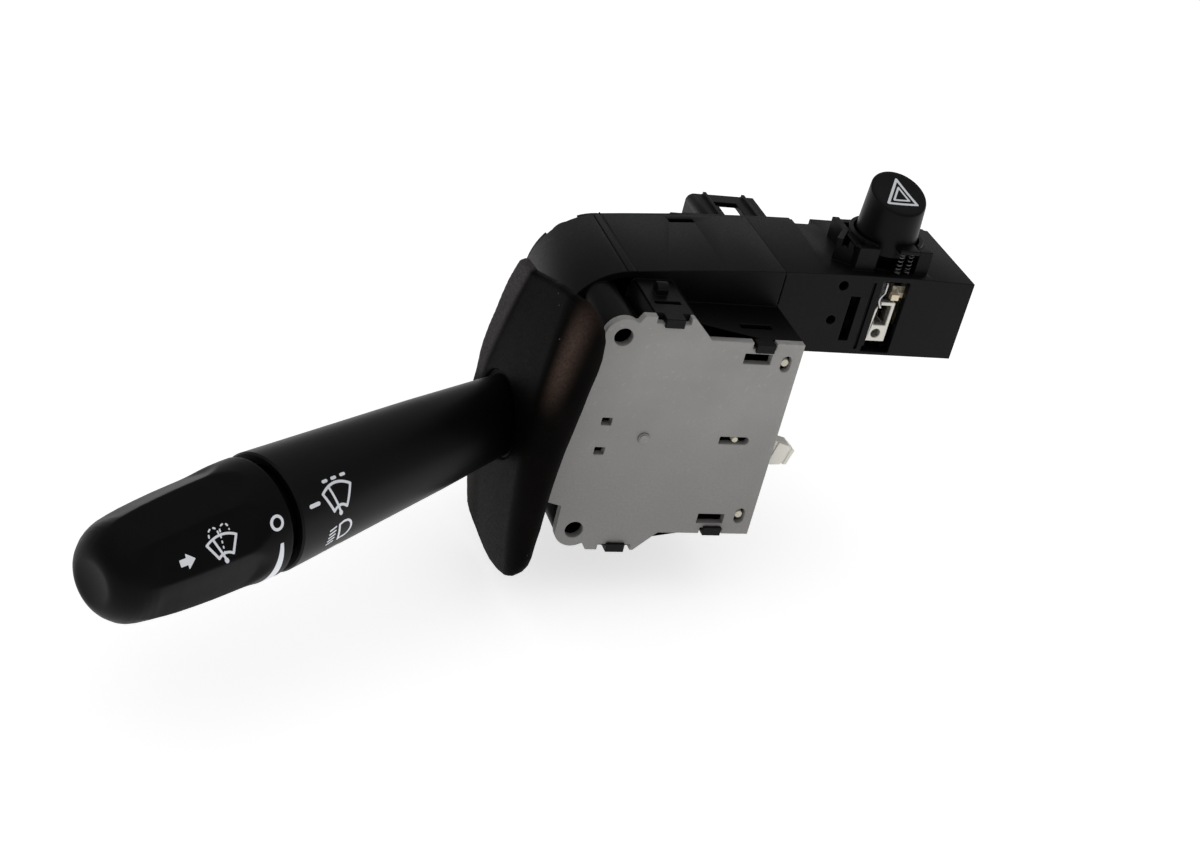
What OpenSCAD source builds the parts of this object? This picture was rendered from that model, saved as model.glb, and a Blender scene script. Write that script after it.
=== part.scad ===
// Indicator stalk switch for a steering column.
// X runs across the dash, Y runs away from the driver, Z is up.
// The origin is midway between the two column screws, on the front face of the cover plate.

/* [Cover plate] */
// Thickness of the grey cover plate
plate_t = 2.4; // [1.8:0.1:3]
// Half height of the right-hand part of the plate
plate_half = 31.9; // [30:0.1:34]
// How far the lobes rise above that half height
lobe_rise = 6.3; // [4:0.1:7]
// Right end of the flat edge of each lobe
lobe_right = 19.4; // [18:0.1:21]
// Left end of each lobe on the housing
lobe_left = 8.4; // [7.5:0.1:9.5]
// Right edge of the plate, from the screw line
plate_right = 53.9; // [53:0.1:57]
// Left edge of the plate, from the screw line
plate_left = 11.1; // [10.4:0.1:12]
// Half height of the tongue at the left edge
tongue_half = 22; // [21:0.1:23.5]
// Length of the four notches that the snap hooks pass through
notch_len = 7; // [5:0.5:9]

/* [Column screws] */
// Distance between the two column screws
screw_pitch = 62.8; // [60:0.1:65]
// Diameter of the screw holes
screw_d = 5.3; // [4.2:0.1:6.2]
// Diameter of the screw bosses
boss_d = 10.4; // [9.6:0.1:11.5]

/* [Housing] */
// Wall thickness of the housings
wall = 2.2; // [1.6:0.1:2.6]
// Depth of the tub, from the plate's front to the arm's front wall
arm_y = 21.4; // [20.8:0.1:23]
// Depth at which the rear cover closes both housings
back_y = 55.5; // [54.5:0.1:60]
// Thickness of the rear cover
rear_t = 2; // [1.6:0.1:3]
// Joint between the switch housing and the arm, from the screw line
seam_x = 53.2; // [52.8:0.1:55]
// Radius of the curved left end of the hood
hood_r = 19.6; // [17:0.1:20.5]
// Radius of the crowned top
crown_r = 850; // [600:10:1500]
// Highest point of the crowned top, along the arm
crown_x = 84; // [70:1:95]
// Height of the crowned top there
crown_z = 43.8; // [43:0.1:45.5]

/* [Arm] */
// Right end of the arm
arm_right = 114.2; // [108:0.1:120]
// Underside of the arm
arm_bottom = 18; // [16:0.1:19]
// Length of the window that shows the hazard slider
window_len = 8.5; // [7.6:0.1:9]

/* [Lever] */
// Distance of the lever's pivot from the screw line
pivot_x = 13.4; // [13:0.1:14]
// Depth of the rock pin behind the plate's front
rock_y = 36.8; // [36.2:0.1:37.6]
// Diameter of the two pivot pins
pivot_pin_d = 3.2; // [2.4:0.1:4]
// Diameter of the rock pin
rock_pin_d = 4; // [3:0.1:5]
// Half height of the lever carrier
carrier_half = 15.5; // [14.5:0.1:16.2]
// Diameter of the detent plunger
plunger_d = 6; // [5:0.1:6.6]

/* [Stalk] */
// Angle of the stalk towards the driver
stalk_sweep = 32.6; // [30:0.1:35]
// Angle of the stalk below the horizontal
stalk_droop = 1.7; // [0:0.1:3]
// Distance of the tube's root from the rock pin
tube_root = 41; // [40.4:0.1:42]
// Distance of the tube's collar from the rock pin
collar_s = 132.5; // [120:0.5:150]
// Diameter of the tube at its root
root_d = 20.8; // [19.8:0.1:21.4]
// Distance at which the tube's taper eases
taper_s = 75.7; // [70:0.1:85]
// Diameter of the tube there
taper_d = 25.4; // [24:0.1:27]
// Diameter of the collar
collar_d = 31.2; // [30:0.1:34]
// Wall thickness of the tube
tube_wall = 2.4; // [1.8:0.1:2.6]

/* [Knob] */
// Gap between the collar and the knob
knob_gap = 2.8; // [2.6:0.1:4]
// Length of the knob
knob_len = 47.7; // [44:0.1:54]
// Diameter of the knob at its open end
knob_d = 31; // [30:0.1:33]
// Depth of the flat that carries the symbols
flat_depth = 1.0; // [0.5:0.1:1.3]
// How much further in the flats lie at the knob's end
flat_fall = 1.8; // [1:0.1:2.2]
// Outer diameter of the spindle inside the knob
spindle_d = 24; // [22:0.1:25]

/* [Shroud] */
// Height of the shroud's top edge above the stalk
shroud_top = 47.4; // [44:0.1:49]
// Depth of the shroud's bottom edge below the stalk
shroud_bottom = 52.4; // [48:0.1:54]
// Width of the shroud from the stalk to its near edge
shroud_near = 28.2; // [27.4:0.1:29]
// Width of the shroud from the stalk to its far edge
shroud_far = 14.8; // [13:0.1:16]
// Radius to which the shroud is bowed
shroud_bow = 200; // [160:1:260]
// Distance of its crest from the rock pin
shroud_s = 55.2; // [54.6:0.1:57]
// Radius of the crest, where the shroud turns towards the driver
shroud_round = 10.5; // [9.5:0.1:12]
// Wall thickness of the shroud
shroud_wall = 2.2; // [1.6:0.1:2.8]

/* [Hazard switch] */
// Position of the hazard button along the arm
button_x = 88.3; // [87.5:0.1:89.5]
// Depth of the hazard button behind the plate's front
button_y = 35; // [34.5:0.1:36]
// Height of the button's top at its centre
button_top = 64.2; // [60:0.1:68]
// Diameter of the button's top
button_d = 17.4; // [14:0.1:18]
// Slope of the button's top towards the driver
button_slope = 19; // [0:0.5:22]
// Top of the collar round the button
ring_top = 51; // [49.5:0.1:53]
// Travel of the button
button_travel = 3; // [2.4:0.1:3.4]

/* [Cancelling pawl] */
// Travel of the pawl slider
pawl_travel = 3; // [2:0.1:3.2]
// Reach of the pawl beyond the plate's right edge
pawl_reach = 10.7; // [7:0.1:12]
// Droop of the pawl at rest
pawl_droop = 15; // [10:0.5:18]

/* [Connector] */
// Width of the connector socket
socket_w = 21.8; // [21:0.1:24]
// Height of the connector socket
socket_h = 18; // [17:0.1:20]
// How far the socket stands out behind the rear cover
socket_depth = 15; // [13:0.1:20]
// Left side of the socket, from the screw line
socket_x = 40.6; // [38:0.1:41]

/* [Clearances] */
// Gap between pieces that move past each other
run_gap = 0.3; // [0.3:0.05:0.4]
// Radial clearance of a pin in its bore
pin_fit = 0.05; // [0.02:0.01:0.08]
// Gap round a piece that is seated in another
seat_gap = 0.1; // [0.05:0.01:0.2]

/* [Hidden] */
$fn = 64;

black = [0.09, 0.09, 0.1];
warm_black = [0.13, 0.12, 0.12];
plate_grey = [0.5, 0.5, 0.48];
ivory = [0.86, 0.83, 0.74];
brass = [0.8, 0.64, 0.3];
steel = [0.72, 0.73, 0.75];
board_brown = [0.42, 0.29, 0.16];

// Shared places
screw_z = screw_pitch / 2;
lobe_half = plate_half + lobe_rise;
hood_cx = hood_r - plate_left;
hood_cz = crown_at(hood_cx) - hood_r;
lower_r = 8;
opening_half = carrier_half + 4;
opening_right = pivot_x + 19.1;
neck_r = 6.2;
pivot_r = pivot_pin_d / 2;
rock_r = rock_pin_d / 2;

// Front windows of the plate
pocket_x = 40.8;
pocket_z = 26.7;
pocket_size = [8.2, 3.2];
oblong_x = 49.65;
oblong_z = 25.5;
slot_left = 36.4;
slot_right = 45.5;
slot_h = 2.4;
notch_right_x = 41.9;
lobe_notch_x = 13.4;
notch_depth = 2;
hook_w = notch_len - 1.4;

// Layers behind the plate
board_y = 10;
board_t = 1.6;
track_t = 0.3;
rotor_y = board_y + board_t + track_t + run_gap + 0.7;
rotor_t = 3;

// Lever carrier
carrier_wall = 3.7;
carrier_left = 6.4;
carrier_right = 14;
carrier_front = 18.8;
cheek_t = 4;
carrier_back = back_y - 3.3;
barrel_len = 8;
nose_reach = 26.7;
track_r = nose_reach + run_gap + 0.05;
detent_angle = 12;

// Cancelling mechanism
slider_pin_x = 41.4;
board_half = plate_half - 4.1;
pawl_pivot = [46, -4];
pawl_pin_r = 2;
cancel_front = plate_t + run_gap;
rail_half = 13;
rail_back = 8.8;
lug_x = 43;

// Stalk profile
collar_r = collar_d / 2;
recess_s = collar_s - 12.5;
plate_s = recess_s - 2.2;
core_plug = 14;
spindle_r = spindle_d / 2;
knob_s = collar_s + knob_gap;
knob_r = knob_d / 2;
knob_end = knob_s + knob_len;
spindle_end = knob_end - 18;

// Hazard switch
button_r = button_d / 2;
draft = 0.6;
skirt_z = crown_z + button_travel + 0.8;
bore_r = button_r + draft + 0.5;
window_x = button_x - 3.7;
window_top = 42.2;
window_low = 20.8;
slider_w = 6.2;
slider_low = 22.2;
slider_high = slider_low + 12.8;
pocket_low = slider_low - button_travel - run_gap;
stem_half = 3;
lug_z = ring_top - 0.6;
spring_places = [[0.8, 10.9], [4.1, 10.3]];

// Connector
socket_top = crown_z - 2.2;

// Rear cover screws, as positions across the housing
cover_screw_places = [[31, 26.5], [46.4, -27], [arm_right - 4.2, arm_bottom + 6.4],
    [arm_right - 4.2, 37.4], [66.3, arm_bottom + 6.4]];

function crown_at(x) = crown_z - crown_r + sqrt(pow(crown_r, 2) - pow(x - crown_x, 2));
function arc_points(c, r, a0, a1, n = 8) =
    [for (i = [0:n]) c + r * [cos(a0 + (a1 - a0) * i / n), sin(a0 + (a1 - a0) * i / n)]];
function tube_radius(s) = s < taper_s
    ? root_d / 2 + (taper_d - root_d) / 2 * (s - tube_root) / (taper_s - tube_root)
    : taper_d / 2 + (collar_d - taper_d) / 2 * (s - taper_s) / (collar_s - taper_s);

// Extrudes an outline drawn in X and Z from one depth to another
module along_y(y0, y1) {
    translate([0, y1, 0]) rotate([90, 0, 0]) linear_extrude(y1 - y0) children();
}

// Box between two corners
module block(a, b) {
    translate(a) cube(b - a);
}

// Round bar or hole along Y
module bar_y(x, z, r, y0, y1) {
    translate([x, y1, z]) rotate([90, 0, 0]) cylinder(r = r, h = y1 - y0);
}

// Repeats a piece above and below the middle plane
module both_halves() {
    children();
    mirror([0, 0, 1]) children();
}

// Frame of the stalk: Z along the stalk from the rock pin, X down, Y towards the driver
module on_stalk(s = 0) {
    translate([pivot_x, rock_y, 0]) rotate([0, 0, 180 + stalk_sweep])
        rotate([0, 90 + stalk_droop, 0]) translate([0, 0, s]) children();
}

// Closed coil of round wire along Z
module coil(r, wire, len, turns, per_turn = 14, sides = 6) {
    n = turns * per_turn;
    ring = [for (i = [0:n], k = [0:sides - 1])
        let (a = 360 * i / per_turn, b = 360 * k / sides, q = r + wire * cos(b))
        [q * cos(a), q * sin(a), wire + (len - 2 * wire) * i / n + wire * sin(b)]];
    side = [for (i = [0:n - 1], k = [0:sides - 1])
        let (p = i * sides + k, q = i * sides + (k + 1) % sides)
        each [[p, q, q + sides], [p, q + sides, p + sides]]];
    first = [[for (k = [sides - 1:-1:0]) k]];
    last = [[for (k = [0:sides - 1]) n * sides + k]];
    polyhedron(ring, concat(side, first, last));
}

// Outline of the tub, moved inwards by i
module tub_outline(i) {
    k = i * tan(22.5);
    top = [[-plate_left + i, tongue_half - i], [lobe_left + i, tongue_half - i],
        [lobe_left + i, lobe_half - i], [lobe_right - k, lobe_half - i],
        [lobe_right + lobe_rise - k, plate_half - i], [plate_right - i, plate_half - i]];
    polygon(concat(top, [for (j = [5:-1:0]) [top[j][0], -top[j][1]]]));
}

// Outline of the switch housing behind the tub, moved inwards by i
module rear_outline(i) {
    intersection() {
        translate([crown_x, crown_z - crown_r]) circle(r = crown_r - i, $fn = 900);
        translate([hood_cx - 0.01, 0]) square([seam_x - i - hood_cx + 0.01, 60]);
    }
    intersection() {
        translate([hood_cx, hood_cz]) circle(r = hood_r - i, $fn = 96);
        translate([hood_cx - hood_r, hood_cz - 0.01]) square([hood_r, hood_r]);
    }
    translate([-plate_left + i, -plate_half + lower_r])
        square([seam_x + plate_left - 2 * i, plate_half - lower_r + hood_cz]);
    translate([-plate_left + lower_r, -plate_half + i])
        square([seam_x + plate_left - lower_r - i, lower_r]);
    translate([-plate_left + lower_r, -plate_half + lower_r]) circle(r = lower_r - i);
}

// Outline of the arm, moved inwards by i, and open towards the switch housing by reach
module arm_outline(i, reach = 0) {
    intersection() {
        translate([crown_x, crown_z - crown_r]) circle(r = crown_r - i, $fn = 900);
        translate([seam_x - reach, arm_bottom + i])
            square([arm_right - i - seam_x + reach, 60]);
    }
}

module snap_hook(x, half) {
    block([x - hook_w / 2, -run_gap, half - notch_depth + 0.2], [x + hook_w / 2, plate_t + 1, half]);
    block([x - hook_w / 2, -1.1, half - notch_depth - 0.8], [x + hook_w / 2, -0.1, half]);
}

module switch_housing() {
    color(black) difference() {
        union() {
            difference() {
                union() {
                    along_y(plate_t, arm_y) tub_outline(0);
                    along_y(arm_y, back_y) rear_outline(0);
                }
                along_y(plate_t - 1, arm_y - wall) tub_outline(wall);
                along_y(arm_y + wall, back_y + 1) rear_outline(wall);
                // The hood is open towards the driver beside the tub
                along_y(arm_y - 1, arm_y + wall + 1) intersection() {
                    rear_outline(wall);
                    translate([-plate_left, tongue_half]) square([hood_cx + plate_left, 30]);
                }
                along_y(arm_y, arm_y + wall + 1) intersection() {
                    rear_outline(wall);
                    translate([-plate_left, -plate_half]) square([seam_x + plate_left, 2 * plate_half - 3]);
                }
                block([-plate_left + wall, arm_y - wall - 1, -opening_half],
                    [opening_right, arm_y + 1, opening_half]);
            }
            both_halves() {
                bar_y(0, screw_z, boss_d / 2, plate_t, back_y);
                block([-1, plate_t, tongue_half - 1], [1, arm_y, screw_z - 3]);
                block([3.5, plate_t, screw_z - 1], [lobe_left + 1, arm_y, screw_z + 1]);
                bar_y(lobe_left + 2.4, lobe_half - 4.3, 4.2, plate_t, arm_y);
                snap_hook(notch_right_x, plate_half);
                snap_hook(lobe_notch_x, lobe_half);
                block([45.7, board_y + board_t, 25.5], [plate_right - 1, arm_y - 1, plate_half - 1]);
                block([11.6, board_y + board_t, 26], [16, arm_y - 1, plate_half + 1]);
            }
            for (p = cover_screw_places) if (p[0] < seam_x) bar_y(p[0], p[1], 3, arm_y - 1, back_y);
            // Peg on the upper lobe, with a rounded top
            block([lobe_notch_x - 1.6, 12, lobe_half - 0.5], [lobe_notch_x + 1.6, 16, lobe_half + 1.8]);
            translate([lobe_notch_x - 1.6, 14, lobe_half + 1.2]) rotate([0, 90, 0]) cylinder(r = 2, h = 3.2);
        }
        both_halves() bar_y(0, screw_z, screw_d / 2, plate_t - 1, back_y + 1);
        for (p = cover_screw_places) if (p[0] < seam_x) bar_y(p[0], p[1], 1.25, back_y - 9, back_y + 1);
        // Way in for the stalk
        block([-plate_left - 1, plate_t - 1, -opening_half + 2], [-plate_left + wall + 1, rock_y - 0.6, opening_half - 2]);
        // Way out for the cancelling pawl
        block([plate_right - wall - 1, plate_t + 0.5, -14.5], [plate_right + 1, rail_back + 1, 3]);
        block([37.4, 8, plate_half - 3], [46.9, 10.4, plate_half + 1]);
        block([10, 7.6, lobe_half - 3], [17.6, 9.2, lobe_half + 1]);
        // Groove across the top at the end of the hood
        block([hood_cx - 2.7, arm_y - 1, hood_cz + hood_r - 0.45], [hood_cx - 2.45, back_y + 1, crown_z + 1]);
        // Row of small notches along the hood's back edge
        for (a = [116, 123, 130]) translate([hood_cx, back_y, hood_cz]) rotate([0, 90 - a, 0])
            translate([hood_r - wall - 1, -1.3, -0.9]) cube([wall + 2, 3, 1.8]);
        // Latch pocket at the back edge of the top
        block([27.6, back_y - 4.7, 38], [35.4, back_y - 2.6, crown_z + 1]);
    }
}

// Walls and webs round the button, on top of the arm
module hazard_collar() {
    left = button_x - 12.8;
    right = button_x + 10.9;
    front = button_y - 10.7;
    back = button_y + 10.6;
    foot = crown_z - 1.2;
    rise = ring_top - foot;
    difference() {
        union() {
            for (x = [left, right - wall]) block([x, front, foot], [x + wall, back, ring_top - 0.8]);
            block([left, back - wall, foot], [right, back, ring_top - 1.4]);
            block([left, front, foot], [button_x - 6.3, front + wall, ring_top]);
            block([button_x + 6.6, front, foot], [right, front + wall, ring_top]);
            translate([button_x, button_y, foot]) cylinder(r = bore_r + 1.3, h = rise + 0.4);
            for (x = [left + 3.2, right - 5]) block([x, front, foot], [x + 1.8, front + 5.6, ring_top - 0.4]);
        }
        // The ring is open at the front, where the springs stand
        block([button_x - 6.3, front - 1, foot - 1], [button_x + 6.6, button_y - 5.2, ring_top + 2]);
    }
    // Angled webs beside the collar
    translate([left - 3.2, front + 5.4, foot]) rotate([0, 0, 55]) {
        for (k = [0, 1]) translate([0, -3.6 * k, 0]) cube([8 - 1.4 * k, 1.8, rise - 0.4 - k]);
        translate([0, -5.6, 0]) cube([1.8, 7, rise - 2.6]);
        translate([5, -5.6, 0]) cube([1.8, 7, rise - 1.8]);
    }
}

module arm_housing() {
    color(black) difference() {
        union() {
            difference() {
                along_y(arm_y, back_y) arm_outline(0);
                along_y(arm_y + wall, back_y + 1) arm_outline(wall, 1);
            }
            intersection() {
                hazard_collar();
                block([seam_x, arm_y, arm_bottom], [arm_right, back_y, ring_top + 5]);
            }
            for (x = [button_x - stem_half - run_gap - 2.2, button_x + stem_half + run_gap])
                block([x, button_y - 2, arm_bottom + 1], [x + 2.2, button_y + 4, 34]);
            for (p = cover_screw_places) if (p[0] > seam_x) bar_y(p[0], p[1], 3, arm_y + 1, back_y);
        }
        for (p = cover_screw_places) if (p[0] > seam_x) bar_y(p[0], p[1], 1.25, back_y - 9, back_y + 1);
        translate([button_x, button_y, crown_z - 0.1]) cylinder(r = bore_r, h = 20);
        // Way through the top for the button's stem
        block([button_x - stem_half - run_gap, button_y - stem_half - run_gap, crown_z - 6],
            [button_x + stem_half + run_gap, button_y + stem_half + run_gap, crown_z + 1]);
        // Notch in the back edge of the top
        block([68.2, back_y - 2.6, crown_z - 4], [74.9, back_y + 1, crown_z + 1]);
        // Seam at the front, where the arm meets the switch housing
        block([seam_x - 1, arm_y - 1, plate_half + 1], [seam_x + 0.25, arm_y + 0.5, crown_z - 1.6]);
        // Window and the slot below it that the slider travels in
        block([window_x, arm_y - 1, window_low], [window_x + window_len, arm_y + wall + 1, window_top]);
        block([window_x - 0.6, arm_y - 1, window_low - 1.7], [window_x + window_len, arm_y + wall + 1, window_low + 0.1]);
        block([window_x, arm_y + 0.5, pocket_low],
            [window_x + slider_w + 2 * run_gap, button_y - stem_half + run_gap, arm_bottom + wall + 1]);
        bar_y(72.2, 40.1, 1.45, arm_y - 1, arm_y + wall + 1);
        bar_y(71.4, 28.9, 1.4, arm_y - 1, arm_y + wall + 1);
        block([75.7, arm_y - 1, 22.4], [78.7, arm_y + wall + 1, 36.8]);
        block([81.4, arm_y - 1, 19.8], [82.4, arm_y + 0.9, 41.6]);
    }
}

module rear_cover() {
    color(black) difference() {
        union() {
            along_y(back_y, back_y + rear_t) {
                difference() {
                    rear_outline(0.5);
                    // Gap above the notches in the hood's back edge
                    translate([hood_cx, hood_cz]) rotate(111) polygon([[wall, 0], [30, 0], [30, 16], [0, wall]]);
                }
                arm_outline(0.5, 1);
                translate([30, plate_half]) square([36, crown_at(30) - plate_half - 0.1]);
                for (k = [-1, 1]) translate([0, k * screw_z]) circle(r = boss_d / 2);
            }
            // Locating rims inside the two housings
            along_y(back_y - 1.6, back_y) difference() {
                rear_outline(wall + seat_gap);
                rear_outline(wall + seat_gap + 1.2);
                for (k = [-1, 1]) translate([0, k * screw_z]) circle(r = boss_d / 2 + seat_gap);
                for (p = cover_screw_places) translate(p) circle(r = 3 + seat_gap);
                translate([hood_cx, hood_cz]) rotate(108) polygon([[0, 0], [30, 0], [30, 18]]);
            }
            along_y(back_y - 1.6, back_y) translate([seam_x + seat_gap, 0]) difference() {
                translate([0, arm_bottom + wall + seat_gap]) square([arm_right - seam_x - wall - 2 * seat_gap, 8]);
                translate([1.2, arm_bottom + wall + seat_gap + 1.2])
                    square([arm_right - seam_x - wall - 2 * seat_gap - 2.4, 8]);
                for (p = cover_screw_places) translate([p[0] - seam_x - seat_gap, p[1]]) circle(r = 3 + seat_gap);
            }
            bar_y(pivot_x, 0, 4.5, carrier_back + run_gap, back_y + 0.1);
            // Stiffening ribs on the outside
            for (x = [-4, 6, 16, 26, 36]) block([x, back_y + rear_t - 0.1, -22], [x + 1.2, back_y + rear_t + 1, 18]);
            for (x = [70, 80, 90, 100]) block([x, back_y + rear_t - 0.1, 22], [x + 1.2, back_y + rear_t + 1, 38]);
        }
        for (k = [-1, 1]) bar_y(0, k * screw_z, screw_d / 2, back_y - 1, back_y + rear_t + 1);
        bar_y(pivot_x, 0, pivot_r, back_y - 4, back_y + rear_t - 0.6);
        for (p = cover_screw_places) bar_y(p[0], p[1], 1.4, back_y - 1, back_y + rear_t + 1);
        block([socket_x + 3, back_y - 2, crown_z - socket_h + 1], [socket_x + socket_w - 3, back_y + rear_t + 1, crown_z - 5]);
        block([68.2, back_y - 1, 41.4], [74.9, back_y + rear_t + 1, crown_z + 1]);
    }
}

module cover_screws() {
    y = back_y + rear_t;
    color(steel) for (p = cover_screw_places) difference() {
        union() {
            bar_y(p[0], p[1], 2.8, y, y + 1.7);
            bar_y(p[0], p[1], 1.2, back_y - 7, y + 0.5);
        }
        block([p[0] - 0.4, y + 0.8, p[1] - 2], [p[0] + 0.4, y + 2, p[1] + 2]);
        block([p[0] - 2, y + 0.8, p[1] - 0.4], [p[0] + 2, y + 2, p[1] + 0.4]);
    }
}

module plate_half_outline() {
    tip = lobe_left - 3.5;
    polygon([[-plate_left, -0.01], [-plate_left, tongue_half], [-boss_d / 2 - 0.4, tongue_half + 1.5],
        [-boss_d / 2 - 0.4, screw_z], [0, screw_z + boss_d / 2 + 0.4], [tip - 1.4, lobe_half - 2.2],
        [tip, lobe_half], [lobe_right, lobe_half], [lobe_right + lobe_rise, plate_half],
        [plate_right, plate_half], [plate_right, -0.01]]);
    translate([0, screw_z]) circle(r = boss_d / 2 + 0.4);
}

module cover_plate() {
    color(plate_grey) difference() {
        union() {
            along_y(0, plate_t) {
                plate_half_outline();
                mirror([0, 1]) plate_half_outline();
            }
            // Locating ribs inside the tub's walls
            both_halves() {
                block([27, plate_t - 0.1, plate_half - wall - seat_gap - 1.2],
                    [36, plate_t + 1.8, plate_half - wall - seat_gap]);
                block([15.6, plate_t - 0.1, lobe_half - wall - seat_gap - 1.2],
                    [18, plate_t + 1.8, lobe_half - wall - seat_gap]);
            }
        }
        both_halves() {
            bar_y(0, screw_z, screw_d / 2, -1, plate_t + 1);
            block([notch_right_x - notch_len / 2, -1, plate_half - notch_depth],
                [notch_right_x + notch_len / 2, plate_t + 1, plate_half + 1]);
            block([lobe_notch_x - notch_len / 2 - 1.5, -1, lobe_half - notch_depth],
                [lobe_notch_x + notch_len / 2 + 1.5, plate_t + 1, lobe_half + 1]);
            block([pocket_x - pocket_size[0] / 2, -1, pocket_z - pocket_size[1] / 2],
                [pocket_x + pocket_size[0] / 2, plate_t + 1, pocket_z + pocket_size[1] / 2]);
            for (k = [-1, 1]) bar_y(oblong_x, oblong_z + k, 1.5, -1, plate_t + 1);
            block([oblong_x - 1.5, -1, oblong_z - 1], [oblong_x + 1.5, plate_t + 1, oblong_z + 1]);
            block([-0.1, -1, 3.6], [2.9, plate_t + 1, 6]);
        }
        block([slot_left, -1, -slot_h / 2], [slot_right - slot_h / 2, plate_t + 1, slot_h / 2]);
        bar_y(slot_right - slot_h / 2, 0, slot_h / 2, -1, plate_t + 1);
        bar_y(pivot_x, 0, pivot_r, -1, plate_t + 1);
    }
}

module pivot_pin() {
    color(steel) {
        bar_y(pivot_x, 0, pivot_r, -0.5, carrier_front + cheek_t - 0.2);
        bar_y(pivot_x, 0, pivot_r - 0.35, -0.8, -0.4);
    }
}

module rear_pivot_pin() {
    color(steel) bar_y(pivot_x, 0, pivot_r, carrier_back - cheek_t + 0.2, back_y + rear_t - 0.6);
}

module contact_board() {
    color(board_brown) difference() {
        along_y(board_y, board_y + board_t) {
            translate([lobe_left + wall + seat_gap, -board_half])
                square([plate_right - lobe_left - 2 * wall - 2 * seat_gap, 2 * board_half]);
        }
        bar_y(pivot_x, 0, pivot_r + 1.2, board_y - 1, board_y + board_t + 1);
        for (k = [-1, 1], x = [22, 32]) bar_y(x, k * 23, 1, board_y - 1, board_y + board_t + 1);
    }
}

module contact_tracks() {
    y = board_y + board_t;
    color(brass) {
        for (r = [11, 16], k = [-1, 0, 1]) along_y(y, y + track_t) intersection() {
            translate([pivot_x, 0]) difference() {
                circle(r = r + 1.2);
                circle(r = r - 1.2);
            }
            translate([pivot_x, 0]) rotate(k * 16) polygon([[0, 0], [24, -24 * tan(6)], [24, 24 * tan(6)]]);
        }
        for (k = [-1, 1], x = [22, 32]) difference() {
            bar_y(x, k * 23, 2, y, y + track_t);
            bar_y(x, k * 23, 1, y - 1, y + 1);
        }
    }
}

module detent_track() {
    color(ivory) along_y(rock_y - 5.3, rock_y + 5.3) difference() {
        translate([pivot_x + track_r - 4, -9.5]) square([seam_x - wall - pivot_x - track_r + 4, 19]);
        translate([pivot_x, 0]) circle(r = track_r, $fn = 120);
        for (k = [-1, 0, 1]) translate([pivot_x, 0]) rotate(k * detent_angle)
            translate([track_r - 2.4, 0]) circle(r = 3);
    }
}

module cancel_guide() {
    bar_x = lug_x - pawl_travel - 7;
    color(ivory) {
        along_y(plate_t, rail_back) difference() {
            translate([bar_x, -rail_half - 2.6]) square([16.4, 2 * rail_half + 5.2]);
            translate([bar_x + 2.5, -rail_half]) square([20, 2 * rail_half]);
        }
        both_halves() {
            block([46.9, plate_t, rail_half + 2.5], [51.2, plate_t + 2.4, board_half]);
            block([36, plate_t, pocket_z - 2.2], [47, plate_t + 2.4, pocket_z - 0.6]);
            bar_y(oblong_x, oblong_z, 1.15, 0.8, plate_t + 0.5);
        }
    }
}

module pawl_slider() {
    color(ivory) {
        difference() {
            block([lug_x - 4, cancel_front, -rail_half + run_gap],
                [pawl_pivot[0] + 4, cancel_front + 2.2, rail_half - run_gap]);
            block([lug_x - 6, cancel_front - 1, 3], [lug_x, cancel_front + 3, 8]);
        }
        bar_y(slider_pin_x, 0, slot_h / 2 - run_gap, 0.5, cancel_front + 0.5);
        bar_y(pawl_pivot[0], pawl_pivot[1], pawl_pin_r, cancel_front + 2, rail_back - 0.2);
        block([lug_x, cancel_front + 2, 3], [lug_x + 2, rail_back - 0.4, 8]);
    }
}

module pawl_spring() {
    color(steel) translate([35.6, 5.6, 5.5]) rotate([0, 90, 0])
        coil(1.8, 0.3, lug_x - 35.7, 5, 12);
}

module cancel_pawl() {
    y0 = cancel_front + 2.2 + run_gap;
    reach = plate_right + pawl_reach - pawl_pivot[0];
    color([0.9, 0.88, 0.8]) difference() {
        translate([pawl_pivot[0], 0, pawl_pivot[1]]) rotate([0, pawl_droop, 0]) difference() {
            union() {
                along_y(y0, rail_back - 0.3) {
                    circle(r = 4.2);
                    polygon([[0, -4.2], [reach - 6.2, -3.5], [reach - 1.2, -1.9], [reach - 0.9, 2.6],
                        [reach - 4.5, 4.3], [reach - 8.5, 3.9], [0, 4.2]]);
                }
                along_y(y0 - 0.6, rail_back + 0.6) intersection() {
                    translate([reach - 7.5, -4]) square([6, 8]);
                    polygon([[0, -4.2], [reach - 6.2, -3.5], [reach - 1.2, -1.9], [reach - 0.9, 2.6],
                        [reach - 4.5, 4.3], [reach - 8.5, 3.9], [0, 4.2]]);
                }
            }
            // Groove across the nose
            block([reach - 3.4, 0, -6], [reach - 2.6, y0 - 0.1, 6]);
        }
        bar_y(pawl_pivot[0], pawl_pivot[1], pawl_pin_r + pin_fit, y0 - 2, rail_back + 2);
    }
}

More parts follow.
